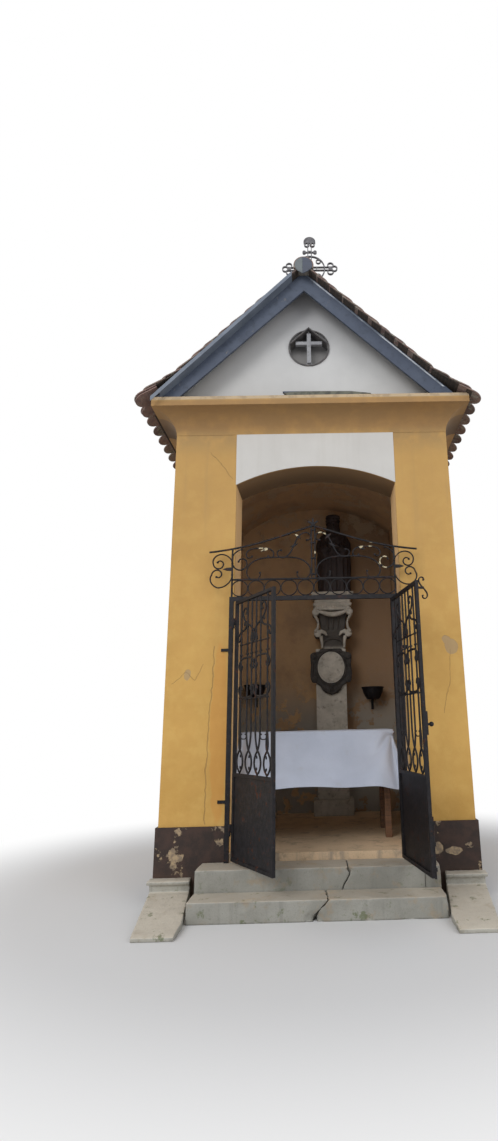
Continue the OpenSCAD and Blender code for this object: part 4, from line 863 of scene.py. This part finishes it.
def leaf_bars(name, side, angle):
    def at(q, z):
        return q * bay, z
    g = Forge(leaf_y0 + (bar_d - thin_d) / 2, thin_d)
    low, top, w = lattice_low, lattice_high, strand_w
    z1, z2 = low + lattice_h * 0.44, low + lattice_h * 0.64
    uprights = (0.25, 0.75, 1.5)
    # Ovals of two strands with a small scroll in each; the strands cross and run on into the fork above
    for b in (0.5, 1.5):
        lean, foot = (0.06, 0.02) if b > 1 else (0.25, 0.25)
        for s in (-1, 1):
            oval = bezier(at(b, low + w * 0.45), at(b + s * 0.46, low + 50), at(b + s * 0.46, oval_z - 50),
                          at(b, oval_z), 16)
            fork = bezier(at(b, oval_z), at(b - s * 0.16, oval_z + 30), at(b - s * lean, fork_z - 50),
                          at(b - s * foot, fork_z), 12)
            g.bar(oval + fork[1:], w)
        g.eyed(scroll((b * bay - 12, low + 52), (b * bay - 12, oval_z - 52), 210, 1, -1, 14), 6)
    for x in uprights:
        g.plate(x * bay - w / 2, x * bay + w / 2, fork_z - 2, top)
    g.eyed(scroll(at(0.88, fork_z - 24), at(1.32, fork_z - 24), 230, 1, 1, 16), 7)
    g.eyed(scroll(at(0.36, z1 + 45), at(1.36, z1 + 45), 285, 1, 1, 28), w)
    g.eyed(scroll(at(0.36, z2 - 45), at(1.36, z2 - 45), 285, 1, -1, 28), w)
    g.eyed(scroll(at(0.30, top - 300), at(0.92, top - 105), 300, -1, 1, 28), w)
    g.eyed(scroll(at(1.66, top - 300), at(1.12, top - 190), 280, -1, -1, 24), w)
    # Collars on the uprights
    for z in (z1 - 40, z2 + 40, top - 360):
        for x in uprights:
            g.plate(x * bay - w, x * bay + w, z, z + 16, 16)
    g.mirrored()
    for z in (z1 - 36, top - 356):
        g.plate(-1.5 * bay, 1.5 * bay, z, z + 8)
    which = "left" if side < 0 else "right"
    place = (Matrix.Translation((side * pin_x * MM, pin_y * MM, 0))
             @ Matrix.Rotation(math.radians(side * angle), 4, "Z")
             @ Matrix.Diagonal((-side, 1, 1, 1)) @ Matrix.Translation((leaf_mid * MM, 0, 0)))
    g.finish(name, "leaf_" + which, "leaf_" + which + "_scrolls", place)


overthrow()
leaf_bars("leaf_left_bars", -1, 56.5)
leaf_bars("leaf_right_bars", 1, 100.0)
soften(0.003, "gate_frame", "leaf_left_frame", "leaf_right_frame", "barge_boards_front", "barge_boards_back")
soften(0.004, "gable_front", "gable_back", "oculus_cross", "oculus_hood", "pedestal_shaft", "plaque", "table_top",
       "table_legs")


# Carved work: closed shells that a remesh fuses into one body
class Carving:
    def __init__(self, origin):
        self.origin = Vector(origin)
        self.v, self.f = [], []

    def shell(self, rings, ring=False):
        base, rows, n = len(self.v), len(rings), len(rings[0])
        for r in rings:
            self.v += [Vector(q) for q in r]
        self.f += quads(base, rows, n, ring=True, flip=True) if ring else tube_faces(base, rows, n, flip=True)

    def ball(self, at, radii, n=20, rows=12):
        rings = []
        for i in range(rows + 1):
            a = math.pi * (0.02 + 0.96 * i / rows)
            z = at[2] - radii[2] * math.cos(a)
            level = circle(n, radii[0] * math.sin(a), radii[1] * math.sin(a))
            rings.append([(at[0] + x, at[1] + y, z) for x, y in level])
        self.shell(rings)

    # A tube of one radius or of one for each point; flat is its thickness as a share of its width
    def tube(self, pts, radii, n=14, flat=1.0):
        pts = [Vector(q) for q in pts]
        side, rings = None, []
        for i, q in enumerate(pts):
            t = (pts[min(i + 1, len(pts) - 1)] - pts[max(i - 1, 0)]).normalized()
            if side is None:
                side = t.cross(Vector((0, 1, 0))) if abs(t.y) < 0.9 else t.orthogonal()
            side = (side - t * side.dot(t)).normalized()
            up = t.cross(side)
            r = radii[i] if isinstance(radii, (list, tuple)) else radii
            rings.append([q + side * x + up * y for x, y in circle(n, r, r * flat)])
        self.shell(rings)

    # A tube and its mirror image
    def pair(self, pts, *rest):
        for s in (-1, 1):
            self.tube([(s * x, y, z) for x, y, z in pts], *rest)

    # Stack of rounded rectangles: each level is height, half width, front and back in Y
    def stack(self, levels):
        rings, n = [], 8
        for z, half, y0, y1 in levels:
            r = min(10.0, half * 0.2)
            ring = []
            for cx, cy, a0 in ((half - r, y1 - r, 0), (r - half, y1 - r, 90),
                               (r - half, y0 + r, 180), (half - r, y0 + r, 270)):
                bend = [math.radians(a0 + 90 * k / n) for k in range(n + 1)]
                ring += [(cx + r * math.cos(a), cy + r * math.sin(a), z) for a in bend]
            rings.append(ring)
        self.shell(rings)

    # Volute: a drum from y0 to y1 with a raised spiral on its front
    def curl(self, at, r, y0, y1, hand, a0, bead=7.0):
        self.tube([(at[0], y, at[1]) for y in (y0, y0 + 1, y1 - 1, y1)], r, 28)
        self.tube([(x, y0 - 2, z) for x, z in spiral(at, r - bead * 0.6, r * 0.18, a0, hand * 540, 44)], bead, 10)
        self.ball((at[0], y0 - 3, at[1]), (r * 0.26, 9, r * 0.26))

    def done(self, name, slot, voxel, smooth, stands_for=None):
        o = piece(name, [(self.origin + q) * MM for q in self.v], self.f, slot, stands_for, unit=1.0)
        modify(o, "REMESH", mode="VOXEL", voxel_size=voxel * MM, use_smooth_shade=True)
        modify(o, "SMOOTH", factor=0.5, iterations=smooth)


floor_h, pedestal_h, capital_h, pedestal_x = 333.0, 2437.0, 660.0, 150.0
inner_x, inner_back, shaft_d, planter_r = 900.0, 2020.0, 240.0, 130.0
pedestal_top = floor_h + pedestal_h
shaft_top = pedestal_top - capital_h
shaft_y0 = inner_back - gap - shaft_d


# Value at q on a line of (value, q) points
def share_at(side, q):
    for (a, za), (b, zb) in zip(side, side[1:]):
        if za <= q <= zb:
            return a + (b - a) * (q - za) / (zb - za)
    return side[-1][0]


# Robed figure: a cloak in deep folds that opens in front, wide sleeves, joined hands and a plain flat crown
def statue():
    h, out = 970.0, 63.0
    r = h * 0.155
    levels, around, shoulder = 54, 120, 0.79
    g = Carving((pedestal_x + 60, inner_back - r - 6, pedestal_top))
    side = [(0.90, 0.0), (0.94, 0.12), (1.0, 0.32), (0.99, 0.44), (0.90, 0.56), (0.84, 0.66), (0.70, 0.73),
            (0.42, 0.775), (0.2, shoulder)]
    rings = []
    for i in range(levels):
        q = shoulder * i / (levels - 1)
        w = share_at(side, q)
        fall = max(0.0, 1.0 - q / 0.72)
        edge = 0.10 + 0.42 * fall
        ring = []
        for k in range(around):
            a = math.tau * k / around
            front = abs(((a - 0.5 * math.pi) % math.tau) - math.pi)
            fold = 0.5 + 0.5 * math.cos(13 * a + 2.2 * math.sin(2 * a + 1.0) + 2.4 * q)
            pull = 1.0 - (0.035 + 0.055 * fall) * fold
            # The cloak's hem stands up beside a groove, and the gown in front has narrow folds
            pull -= 0.085 * math.exp(-((front - edge) / 0.07) ** 2) if q < 0.74 else 0.0
            pull += 0.045 * math.exp(-((front - edge - 0.14) / 0.08) ** 2)
            if front < edge - 0.05:
                pull -= 0.05 - 0.03 * math.cos(30 * a)
            wide = out * min(1.0, w * 1.3) + 0.96 * r * w
            ring.append((wide * math.cos(a) * pull, r * w * math.sin(a) * pull, h * q))
        rings.append(ring)
    g.shell(rings)
    # Arms, the sleeves that hang from them, hands, the sleeves' folds
    g.pair([(128, 6, h * 0.70), (158, -22, h * 0.62), (160, -66, h * 0.535), (118, -118, h * 0.515),
            (58, -148, h * 0.55)], [46, 50, 50, 46, 50], 20)
    g.pair([(150, -62, h * 0.53), (104, -120, h * 0.47), (84, -128, h * 0.38)], [40, 40, 14], 16)
    g.pair([(60, -148, h * 0.55), (22, -160, h * 0.578), (9, -160, h * 0.62)], [22, 19, 9], 12)
    for k in range(3):
        g.pair([(116 - 14 * k, -100 - 12 * k, h * (0.66 - 0.02 * k)),
                (128 - 10 * k, -120 - 8 * k, h * (0.56 - 0.01 * k)),
                (84 - 8 * k, -150 - 4 * k, h * 0.50)], [5, 8, 4], 8)
    # Neck and collar
    g.tube([(0, -6, h * 0.74), (0, -6, h * 0.83)], [52, 44], 20)
    g.tube([(-96, -66, h * 0.745), (-50, -104, h * 0.70), (0, -116, h * 0.672), (50, -104, h * 0.70),
            (96, -66, h * 0.745)], 11, 10)
    g.done("statue_figure", "statue_paint", 6.5, 3, "statue")
    # Head: skull, veil, face, nose, then brows, eyes, nostrils, lips and chin
    g = Carving(g.origin)
    g.ball((0, -4, h * 0.85), (66, 68, 82), 36, 24)
    g.tube([(0, 8, h * 0.76), (0, 8, h * 0.80), (0, 6, h * 0.85), (0, 4, h * 0.89)], [84, 86, 82, 76], 36)
    g.ball((0, -40, h * 0.848), (46, 42, 60), 36, 24)
    g.tube([(0, -80, h * 0.873), (0, -88, h * 0.852), (0, -92, h * 0.840)], [4.5, 6.5, 8.5], 12)
    g.pair([(8, -80, h * 0.874), (20, -80, h * 0.879), (33, -68, h * 0.872)], 4.5, 10)
    for s in (-1, 1):
        g.ball((s * 19, -75, h * 0.862), (10, 6, 5.5))
        g.ball((s * 7, -84, h * 0.838), (5, 5, 4))
    g.ball((0, -80, h * 0.8215), (13, 5, 3.6))
    g.ball((0, -78, h * 0.8155), (11, 5, 3.8))
    g.ball((0, -66, h * 0.800), (19, 15, 14))
    # Crown: two bands, its wall, and a row of beads
    for z, band in ((0.892, 82), (0.975, 86)):
        g.tube([(0, 0, h * z + up) for up in (-9, -6, 6, 9)], [band - 2, band + 2, band + 2, band - 2], 48)
    g.tube([(0, 0, h * 0.88), (0, 0, h * 0.93), (0, 0, h * 0.997)], [77, 80, 84], 48)
    for x, y in circle(12, 81):
        g.ball((x, y, h * 0.934), (9, 9, 13), 12, 8)
    g.done("statue_head", "statue_paint", 3.0, 2)


# Capital: slab and moulded band, a row of beads, ears with volutes, a set-back neck between curved straps, painted dark
# as shade
def capital():
    g = Carving((pedestal_x + 30, 0, shaft_top))
    back, mid = inner_back - 1.0, inner_back - gap - shaft_d / 2

    def front(half):
        return mid - half * 0.76
    g.stack([(z, half, front(half), back) for z, half in (
        (440, 196), (452, 214), (470, 219), (474, 206), (492, 203), (496, 222), (520, 228), (534, 212), (556, 206),
        (590, 214), (606, 234), (622, 238), (626, 246), (659, 246))])
    g.stack([(z, half, front(half * 0.82), back) for z, half in (
        (0, 128), (60, 132), (150, 138), (250, 142), (340, 150), (452, 168))])
    for k in range(13):
        g.ball((-180 + 30 * k, front(206) - 1, 482), (11, 10, 9), 12, 8)
    # Swag under the band
    sag = [math.sin(math.pi * k / 16) for k in range(17)]
    g.tube([(-176 + 22 * k, front(219) - 4, 436 - 46 * q) for k, q in enumerate(sag)], [14 + 16 * q for q in sag], 14)
    for s in (-1, 1):
        g.curl((s * 197, 420), 40, front(226), back - 60, s, 90)
        g.curl((s * 176, 176), 42, front(196), back - 60, -s, -90)
    g.pair([(214, front(170), 400), (184, front(160), 350), (166, front(150), 300), (172, front(160), 240),
            (206, front(170), 186)], [20, 17, 16, 18, 22], 14, 2.2)
    g.pair([(150, front(170), 206), (96, front(176), 186), (70, front(172), 150)], [26, 22, 10], 14)
    g.pair([(140, front(160), 150), (128, front(150), 80), (126, front(150), 10)], [24, 20, 16], 14)
    g.pair([(132, front(128), 40), (100, front(128), 90), (50, front(128), 118), (0, front(128), 126)], 12, 12)
    for s in (-1, 0, 1):
        g.tube([(s * 60, front(136), 430), (s * 62, front(134), 330), (s * 56, front(130), 230)], [10, 13, 5], 12)
    g.done("capital_carved", "carved_stone", 5.5, 3, "pedestal_capital")


# How far a closed line of points lies from (0, up) in the direction d
def reach_to(loop, up, d):
    far = 0.0
    for p, q in zip(loop, loop[1:] + loop[:1]):
        e, w = q - p, p - Vector((0, up))
        den = d.x * e.y - d.y * e.x
        if abs(den) > 1e-9:
            t, u = (w.x * e.y - w.y * e.x) / den, (w.x * d.y - w.y * d.x) / den
            if t > 0 and -1e-6 <= u <= 1 + 1e-6:
                far = t
    return far


# Cartouche: a moulded frame round the oval hollow, with curled corners and a leaf at its foot
def cartouche():
    rx = 236.0
    rz, up, n = rx * 1.09, rx * 0.2, 128
    oval_x, oval_z = rx * 0.65, rx * 0.755
    back, front = shaft_y0 - gap, shaft_y0 - gap - 42.0
    g = Carving((pedestal_x, 0, shaft_top - gap - rz))
    side = [(0.50, 1.0), (0.56, 0.88), (0.86, 0.84), (1.0, 0.70), (0.96, 0.30), (1.0, -0.10), (0.97, -0.36),
            (0.72, -0.50), (0.52, -0.62), (0.44, -0.80), (0.26, -0.93), (0.0, -1.0)]
    loop = [Vector((x * rx, z * rz)) for x, z in side]
    loop += [Vector((-q.x, q.y)) for q in reversed(loop[:-1])]
    # The moulding from the oval to the outline: share of the way out, and Y
    moulding = [(0, back), (0, front + 6), (0.05, front - 4), (0.16, front - 4), (0.24, front + 10), (0.5, front + 16),
                (0.8, front + 6), (0.93, front + 4), (1.0, front + 14), (1.0, back)]
    rings = []
    for c, d in circle(n):
        inner = 1.0 / math.hypot(c / (oval_x + 3), d / (oval_z + 3))
        outer = reach_to(loop, up, Vector((c, d)))
        places = [(inner + (outer - inner) * q, y) for q, y in moulding]
        rings.append([(away * c, y, up + away * d) for away, y in places])
    g.shell(rings, ring=True)
    g.shell([[(x, y, up + z) for x, z in circle(48, oval_x + 12, oval_z + 12)] for y in (shaft_y0 - 13.0, back)])
    for s in (-1, 1):
        g.curl((s * 0.84 * rx, 0.68 * rz), 0.15 * rx, front - 4, back - 2, s, 200, 6.0)
        g.curl((s * 0.81 * rx, -0.36 * rz), 0.14 * rx, front - 4, back - 2, -s, 20, 6.0)
    for pts, radii, sides in (
            ([(0.92, 8, 0.52), (0.86, 2, 0.2), (0.9, 8, -0.18)], [7, 11, 7], 10),
            ([(0.40, 6, -0.62), (0.30, -2, -0.78), (0.12, 4, -0.92)], [9, 14, 7], 12),
            ([(0.10, 8, 0.93), (0.36, 2, 0.90), (0.50, 8, 0.84)], [8, 11, 6], 12)):
        g.pair([(x * rx, front + y, z * rz) for x, y, z in pts], radii, sides)
    g.tube([(0, front + 6, -0.60 * rz), (0, front - 6, -0.78 * rz), (0, front + 4, -0.94 * rz)], [8, 17, 7], 14)
    g.done("cartouche_carved", "dark_stone", 4.5, 2, "cartouche")


# Planter: a turned bowl with a rolled rim on a scrolled bracket
def planter(name, x, low, node):
    wall_y = planter_r + 1
    g = Carving((x, inner_back - planter_r - 6 - gap, low))
    bowl = [(6, 0), (60, 1), (72, 8), (92, 38), (112, 84), (122, 124), (128, 129), (131, 135), (128, 140), (122, 140),
            (117, 134), (106, 86), (86, 42), (66, 16), (6, 12)]
    g.shell([[(q * c, q * d, z) for q, z in bowl] for c, d in circle(48)], ring=True)
    g.tube([(0, 10, -4), (0, wall_y + 1, -4)], 7, 10)
    g.tube([(0, y, z) for y, z in ((132, -104), (112, -98), (84, -74), (60, -40), (34, -18), (10, -12), (-8, -20),
                                   (-10, -34), (4, -40))], 6, 10)
    g.tube([(0, wall_y, -108), (0, wall_y, 28)], 16, 12, 0.32)
    g.done(name, "black_iron", 3.0, 1, node)


statue()
capital()
cartouche()
planter("planter_left_bowl", -inner_x + planter_r * 1.4, floor_h + pedestal_h * 0.515, "planter_left")
planter("planter_right_bowl", inner_x - planter_r * 2.15, floor_h + pedestal_h * 0.495, "planter_right")


# Worn concrete: boxes in a fine grid with rounded, chipped edges; their ends in X can follow a broken line
class Worn:
    def __init__(self):
        self.v, self.f = [], []

    # The chips are place, radius and depth
    def block(self, low, high, seed, worn, chips, left=None, right=None):
        cell = 10.0
        size = [b - a for a, b in zip(low, high)]
        count = [max(2, round(q / cell)) for q in size]
        index = {}

        def vertex(*at):
            if at in index:
                return index[at]
            p = Vector([a + q * i / n for a, q, i, n in zip(low, size, at, count)])
            rough = noise.noise(p * 0.012 + Vector((seed, 0, 0))) + 0.35 * noise.noise(p * 0.05)
            r = max(2.0, worn * (0.7 + 1.6 * max(0.0, rough)))
            core = Vector((min(max(p.x, low[0] + r), high[0] - r), min(max(p.y, low[1] + r), high[1] - r),
                           min(p.z, high[2] - r)))
            n = (p - core).normalized() if (p - core).length > 0 else Vector((0, 0, 0))
            p = core + n * r
            p -= n * (1.6 * abs(noise.noise(p * 0.03 + Vector((0, seed, 0)))) + 0.9 * abs(noise.noise(p * 0.11)))
            for c, radius, depth in chips:
                away = (p - Vector(c)).length / radius + 0.25 * noise.noise(p * 0.06)
                if away < 1:
                    p -= n * depth * (1 - away ** 3)
            a = left(p.y, p.z) if left else low[0]
            b = right(p.y, p.z) if right else high[0]
            p.x = a + (b - a) * (p.x - low[0]) / size[0]
            index[at] = len(self.v)
            self.v.append(p)
            return index[at]
        nx, ny, nz = count
        for ni, nj, at, flip in (
                (nx, ny, lambda i, j: (i, j, nz), False), (nx, ny, lambda i, j: (i, j, 0), True),
                (nx, nz, lambda i, j: (i, 0, j), False), (nx, nz, lambda i, j: (i, ny, j), True),
                (ny, nz, lambda i, j: (0, i, j), True), (ny, nz, lambda i, j: (nx, i, j), False)):
            for i in range(ni):
                for j in range(nj):
                    q = [vertex(*at(i, j)), vertex(*at(i + 1, j)), vertex(*at(i + 1, j + 1)), vertex(*at(i, j + 1))]
                    self.f.append(tuple(reversed(q)) if flip else tuple(q))

    def done(self, name, stands_for):
        piece(name, [q * MM for q in self.v], self.f, "concrete", stands_for, unit=1.0)


# X of a crack that runs up the riser and back over the tread, from a line of (X, way along) points
def broken(line, y0, shift, rough, seed):
    def at(y, z):
        q = z + (y - y0) * 0.5
        x = line[0][0] if q < line[0][1] else share_at(line, q)
        return x + shift + rough * noise.noise(Vector((y * 0.04, z * 0.05, seed)))
    return at


def steps():
    half, low_y, up_y, back_y, low_h, up_h, end_h = 885, -565, -316, -56, 133, 277, 273
    lower = [(-16, 0), (-16, 42), (39, 95), (73, 133), (73, 152), (59, 240)]
    upper = [(170, 100), (189, 166), (234, 231), (221, 277), (222, 293), (215, 408)]
    g = Worn()
    g.block((-half, low_y, 0), (34, up_y - 0.3, low_h), 3.0, 7.0,
            [((-500, low_y, low_h), 60, 9), ((20, low_y, 0), 66, 18)],
            right=broken(lower, low_y, -3.0, 9.0, 1.0))
    g.block((40, low_y, 0), (half, up_y - 0.3, low_h), 4.0, 8.0,
            [((half, low_y, low_h), 46, 9), ((300, low_y, low_h), 50, 7), ((44, low_y, 10), 50, 15),
             ((640, low_y, 0), 70, 6)],
            left=broken(lower, low_y, 3.0, 9.0, 2.0))
    g.done("step_lower_worn", "step_lower")
    g = Worn()
    g.block((-half, up_y, 0), (230, back_y, up_h), 5.0, 7.0, [((-300, up_y, up_h), 56, 8), ((226, up_y, up_h), 40, 10)],
            right=broken(upper, up_y, -2.5, 8.0, 3.0))
    g.block((236, up_y, 0), (775, back_y, up_h), 6.0, 7.0,
            [((238, up_y, 270), 44, 11), ((520, up_y, up_h), 60, 7), ((770, up_y, up_h), 40, 9)],
            left=broken(upper, up_y, 3.0, 8.0, 4.0))
    g.done("step_upper_worn", "step_upper")
    g = Worn()
    g.block((775.6, up_y + 4, 0), (half + 6, back_y, end_h), 7.0, 9.0, [((half + 6, up_y + 4, end_h), 40, 9)])
    g.done("step_end_worn", "step_end_block")


# The edge slabs keep their solids, with lumpy faces and worn edges
def edge_slabs():
    clouds = bpy.data.textures.new("lumps", "CLOUDS")
    clouds.noise_scale = 0.05
    clouds.noise_depth = 3
    for n in ("edge_slab_left", "edge_slab_right"):
        o = nodes[n]
        o.data.materials[0] = slab_finish
        modify(o, "REMESH", mode="VOXEL", voxel_size=0.007, use_smooth_shade=True)
        modify(o, "SMOOTH", factor=0.5, iterations=2)
        modify(o, "DISPLACE", texture=clouds, texture_coords="GLOBAL", strength=0.006, mid_level=0.6)


steps()
edge_slabs()


# Tablecloth, in metres: a cotton sheet dropped over the table by a cloth simulation, pinned where it lies on the top
table_w, table_d, table_y, table_z, table_t = 1.360, 0.620, 0.410, 1.218, 0.035
cloth_flat, cloth_front = (1.74, 1.15), 0.545
cloth_frames = 60


# The box that the cloth falls over, there only while it falls
def cloth_block():
    bm = bmesh.new()
    bmesh.ops.create_cube(bm, size=1.0)
    bmesh.ops.scale(bm, vec=(table_w, table_d, table_t), verts=bm.verts)
    bmesh.ops.translate(bm, vec=(0, table_y + table_d / 2, table_z - table_t / 2), verts=bm.verts)
    bmesh.ops.bevel(bm, geom=list(bm.edges), offset=0.008, segments=3, affect="EDGES")
    mesh = bpy.data.meshes.new("collider")
    bm.to_mesh(mesh)
    bm.free()
    block = link("collider", mesh)
    modify(block, "COLLISION")
    block.collision.thickness_outer = 0.002
    block.collision.cloth_friction = 20.0
    return block


def drape(o, held):
    o.vertex_groups.new(name="held").add(held, 1.0, "REPLACE")
    block = cloth_block()
    cloth = modify(o, "CLOTH")
    for key, value in (
            ("quality", 8), ("mass", 0.25), ("tension_stiffness", 40.0), ("compression_stiffness", 40.0),
            ("shear_stiffness", 8.0), ("bending_stiffness", 0.6), ("tension_damping", 10.0),
            ("compression_damping", 10.0), ("shear_damping", 10.0), ("air_damping", 2.0),
            ("vertex_group_mass", "held")):
        setattr(cloth.settings, key, value)
    cloth.collision_settings.distance_min = 0.003
    cloth.collision_settings.collision_quality = 3
    scene.frame_start, scene.frame_end = 1, cloth_frames
    cloth.point_cache.frame_start, cloth.point_cache.frame_end = 1, cloth_frames
    for frame_no in range(1, cloth_frames + 1):
        scene.frame_set(frame_no)
    settled = bpy.data.meshes.new_from_object(o.evaluated_get(bpy.context.evaluated_depsgraph_get()))
    o.modifiers.clear()
    o.data = settled
    settled.shade_smooth()
    bpy.data.objects.remove(block)
    scene.frame_set(1)


def tablecloth():
    nx, ny = 88, 58
    w, l = cloth_flat
    verts = []
    for j in range(ny + 1):
        for i in range(nx + 1):
            x, y = -w / 2 + w * i / nx, table_y - cloth_front + l * j / ny
            verts.append((x, y, table_z + 0.004 + 0.004 * noise.noise(Vector((x * 5, y * 5, 1.0)))))
    faces = quads(0, ny + 1, nx + 1, wrap=False, flip=True)
    o = piece("tablecloth_sheet", verts, faces, "white_cloth", "tablecloth", unit=1.0)
    held = [k for k, (x, y, z) in enumerate(verts)
            if abs(x) < table_w / 2 - 0.02 and table_y + 0.02 < y < table_y + table_d - 0.01]
    drape(o, held)
    modify(o, "SOLIDIFY", thickness=0.0012, offset=0.0)
    modify(o, "SUBSURF", levels=1, render_levels=1)


tablecloth()


# Stage: pale floor that turns into plain white away from the shrine, and soft light
def seen(tree):
    rays = tree.nodes.new("ShaderNodeLightPath").outputs
    return reduce(lambda a, b: shader(tree, "Math", {0: a, 1: b}, operation="MAXIMUM"),
                  [rays["Is Camera Ray"], rays["Is Glossy Ray"], rays["Is Transmission Ray"]])


# A surface that is lit as it is, and plain white by the share
def turn_white(tree, share, lit, white, output):
    mix = shader(tree, "MixShader", {0: share, 1: lit.outputs[0], 2: shader(tree, white, {"Color": (1, 1, 1, 1)})})
    wire(tree, tree.nodes[output], {"Surface": mix})


def area(name, at, side, power, target):
    light = bpy.data.lights.new(name, "AREA")
    light.shape = "RECTANGLE"
    light.size = light.size_y = side
    light.energy = power
    o = link(name, light)
    o.location = at
    o.rotation_euler = (Vector(target) - Vector(at)).to_track_quat("-Z", "Y").to_euler()


def stage():
    mesh = bpy.data.meshes.new("floor")
    mesh.from_pydata([(-40, -40, 0), (40, -40, 0), (40, 60, 0), (-40, 60, 0)], [], [(0, 1, 2, 3)])
    floor = link("floor", mesh)
    floor.location.z = -0.001
    m = bpy.data.materials.new("floor_pale")
    m.use_nodes = True
    t = m.node_tree
    pale = t.nodes["Principled BSDF"]
    wire(t, pale, {"Base Color": (0.62, 0.61, 0.60, 1), "Roughness": 0.95})
    at = t.nodes.new("ShaderNodeTexCoord").outputs["Object"]
    far = shader(t, "VectorMath", {0: at, 1: (0, 0.6, 0)}, "Value", operation="DISTANCE")
    far = shader(t, "MapRange", {"Value": far, "From Min": 2.2, "From Max": 4.4}, interpolation_type="SMOOTHSTEP")
    far = shader(t, "Math", {0: far, 1: seen(t)}, operation="MULTIPLY")
    turn_white(t, far, pale, "Emission", "Material Output")
    mesh.materials.append(m)

    world = bpy.data.worlds.new("studio")
    scene.world = world
    world.use_nodes = True
    t = world.node_tree
    sky = t.nodes["Background"]
    wire(t, sky, {"Color": (0.90, 0.94, 1.0, 1), "Strength": 0.75})
    turn_white(t, seen(t), sky, "Background", "World Output")
    area("key", (-7.0, -12.0, 9.0), 8.0, 1040.0, (0, 0, 2.4))
    area("fill", (9.0, -9.0, 6.0), 8.0, 413.0, (0, 0, 2.4))


# The photograph's camera: focal length and middle in pixels of its 498 by 1141 picture
def camera():
    focal, picture_h, middle_x, true_x, film = 590.57, 1141.0, 249.0, 332.2, 36.0
    pitch, yaw, roll = math.radians(14.55), math.radians(0.87), math.radians(1.31)
    ahead = Vector((math.sin(yaw) * math.cos(pitch), math.cos(yaw) * math.cos(pitch), math.sin(pitch)))
    level = Vector((math.cos(yaw), -math.sin(yaw), 0))
    upright = level.cross(ahead)
    right = math.cos(roll) * level - math.sin(roll) * upright
    up = math.sin(roll) * level + math.cos(roll) * upright
    data = bpy.data.cameras.new("camera")
    data.sensor_width = film
    data.sensor_fit = "AUTO"
    data.lens = focal * film / picture_h
    data.shift_x = (middle_x - true_x) / picture_h
    data.clip_end = 200.0
    o = link("camera", data)
    m = Matrix((right, up, -ahead)).transposed().to_4x4()
    m.translation = (0.085, -4.98, 1.28)
    o.matrix_world = m
    scene.camera = o


stage()
camera()
scene.view_settings.view_transform = "Standard"
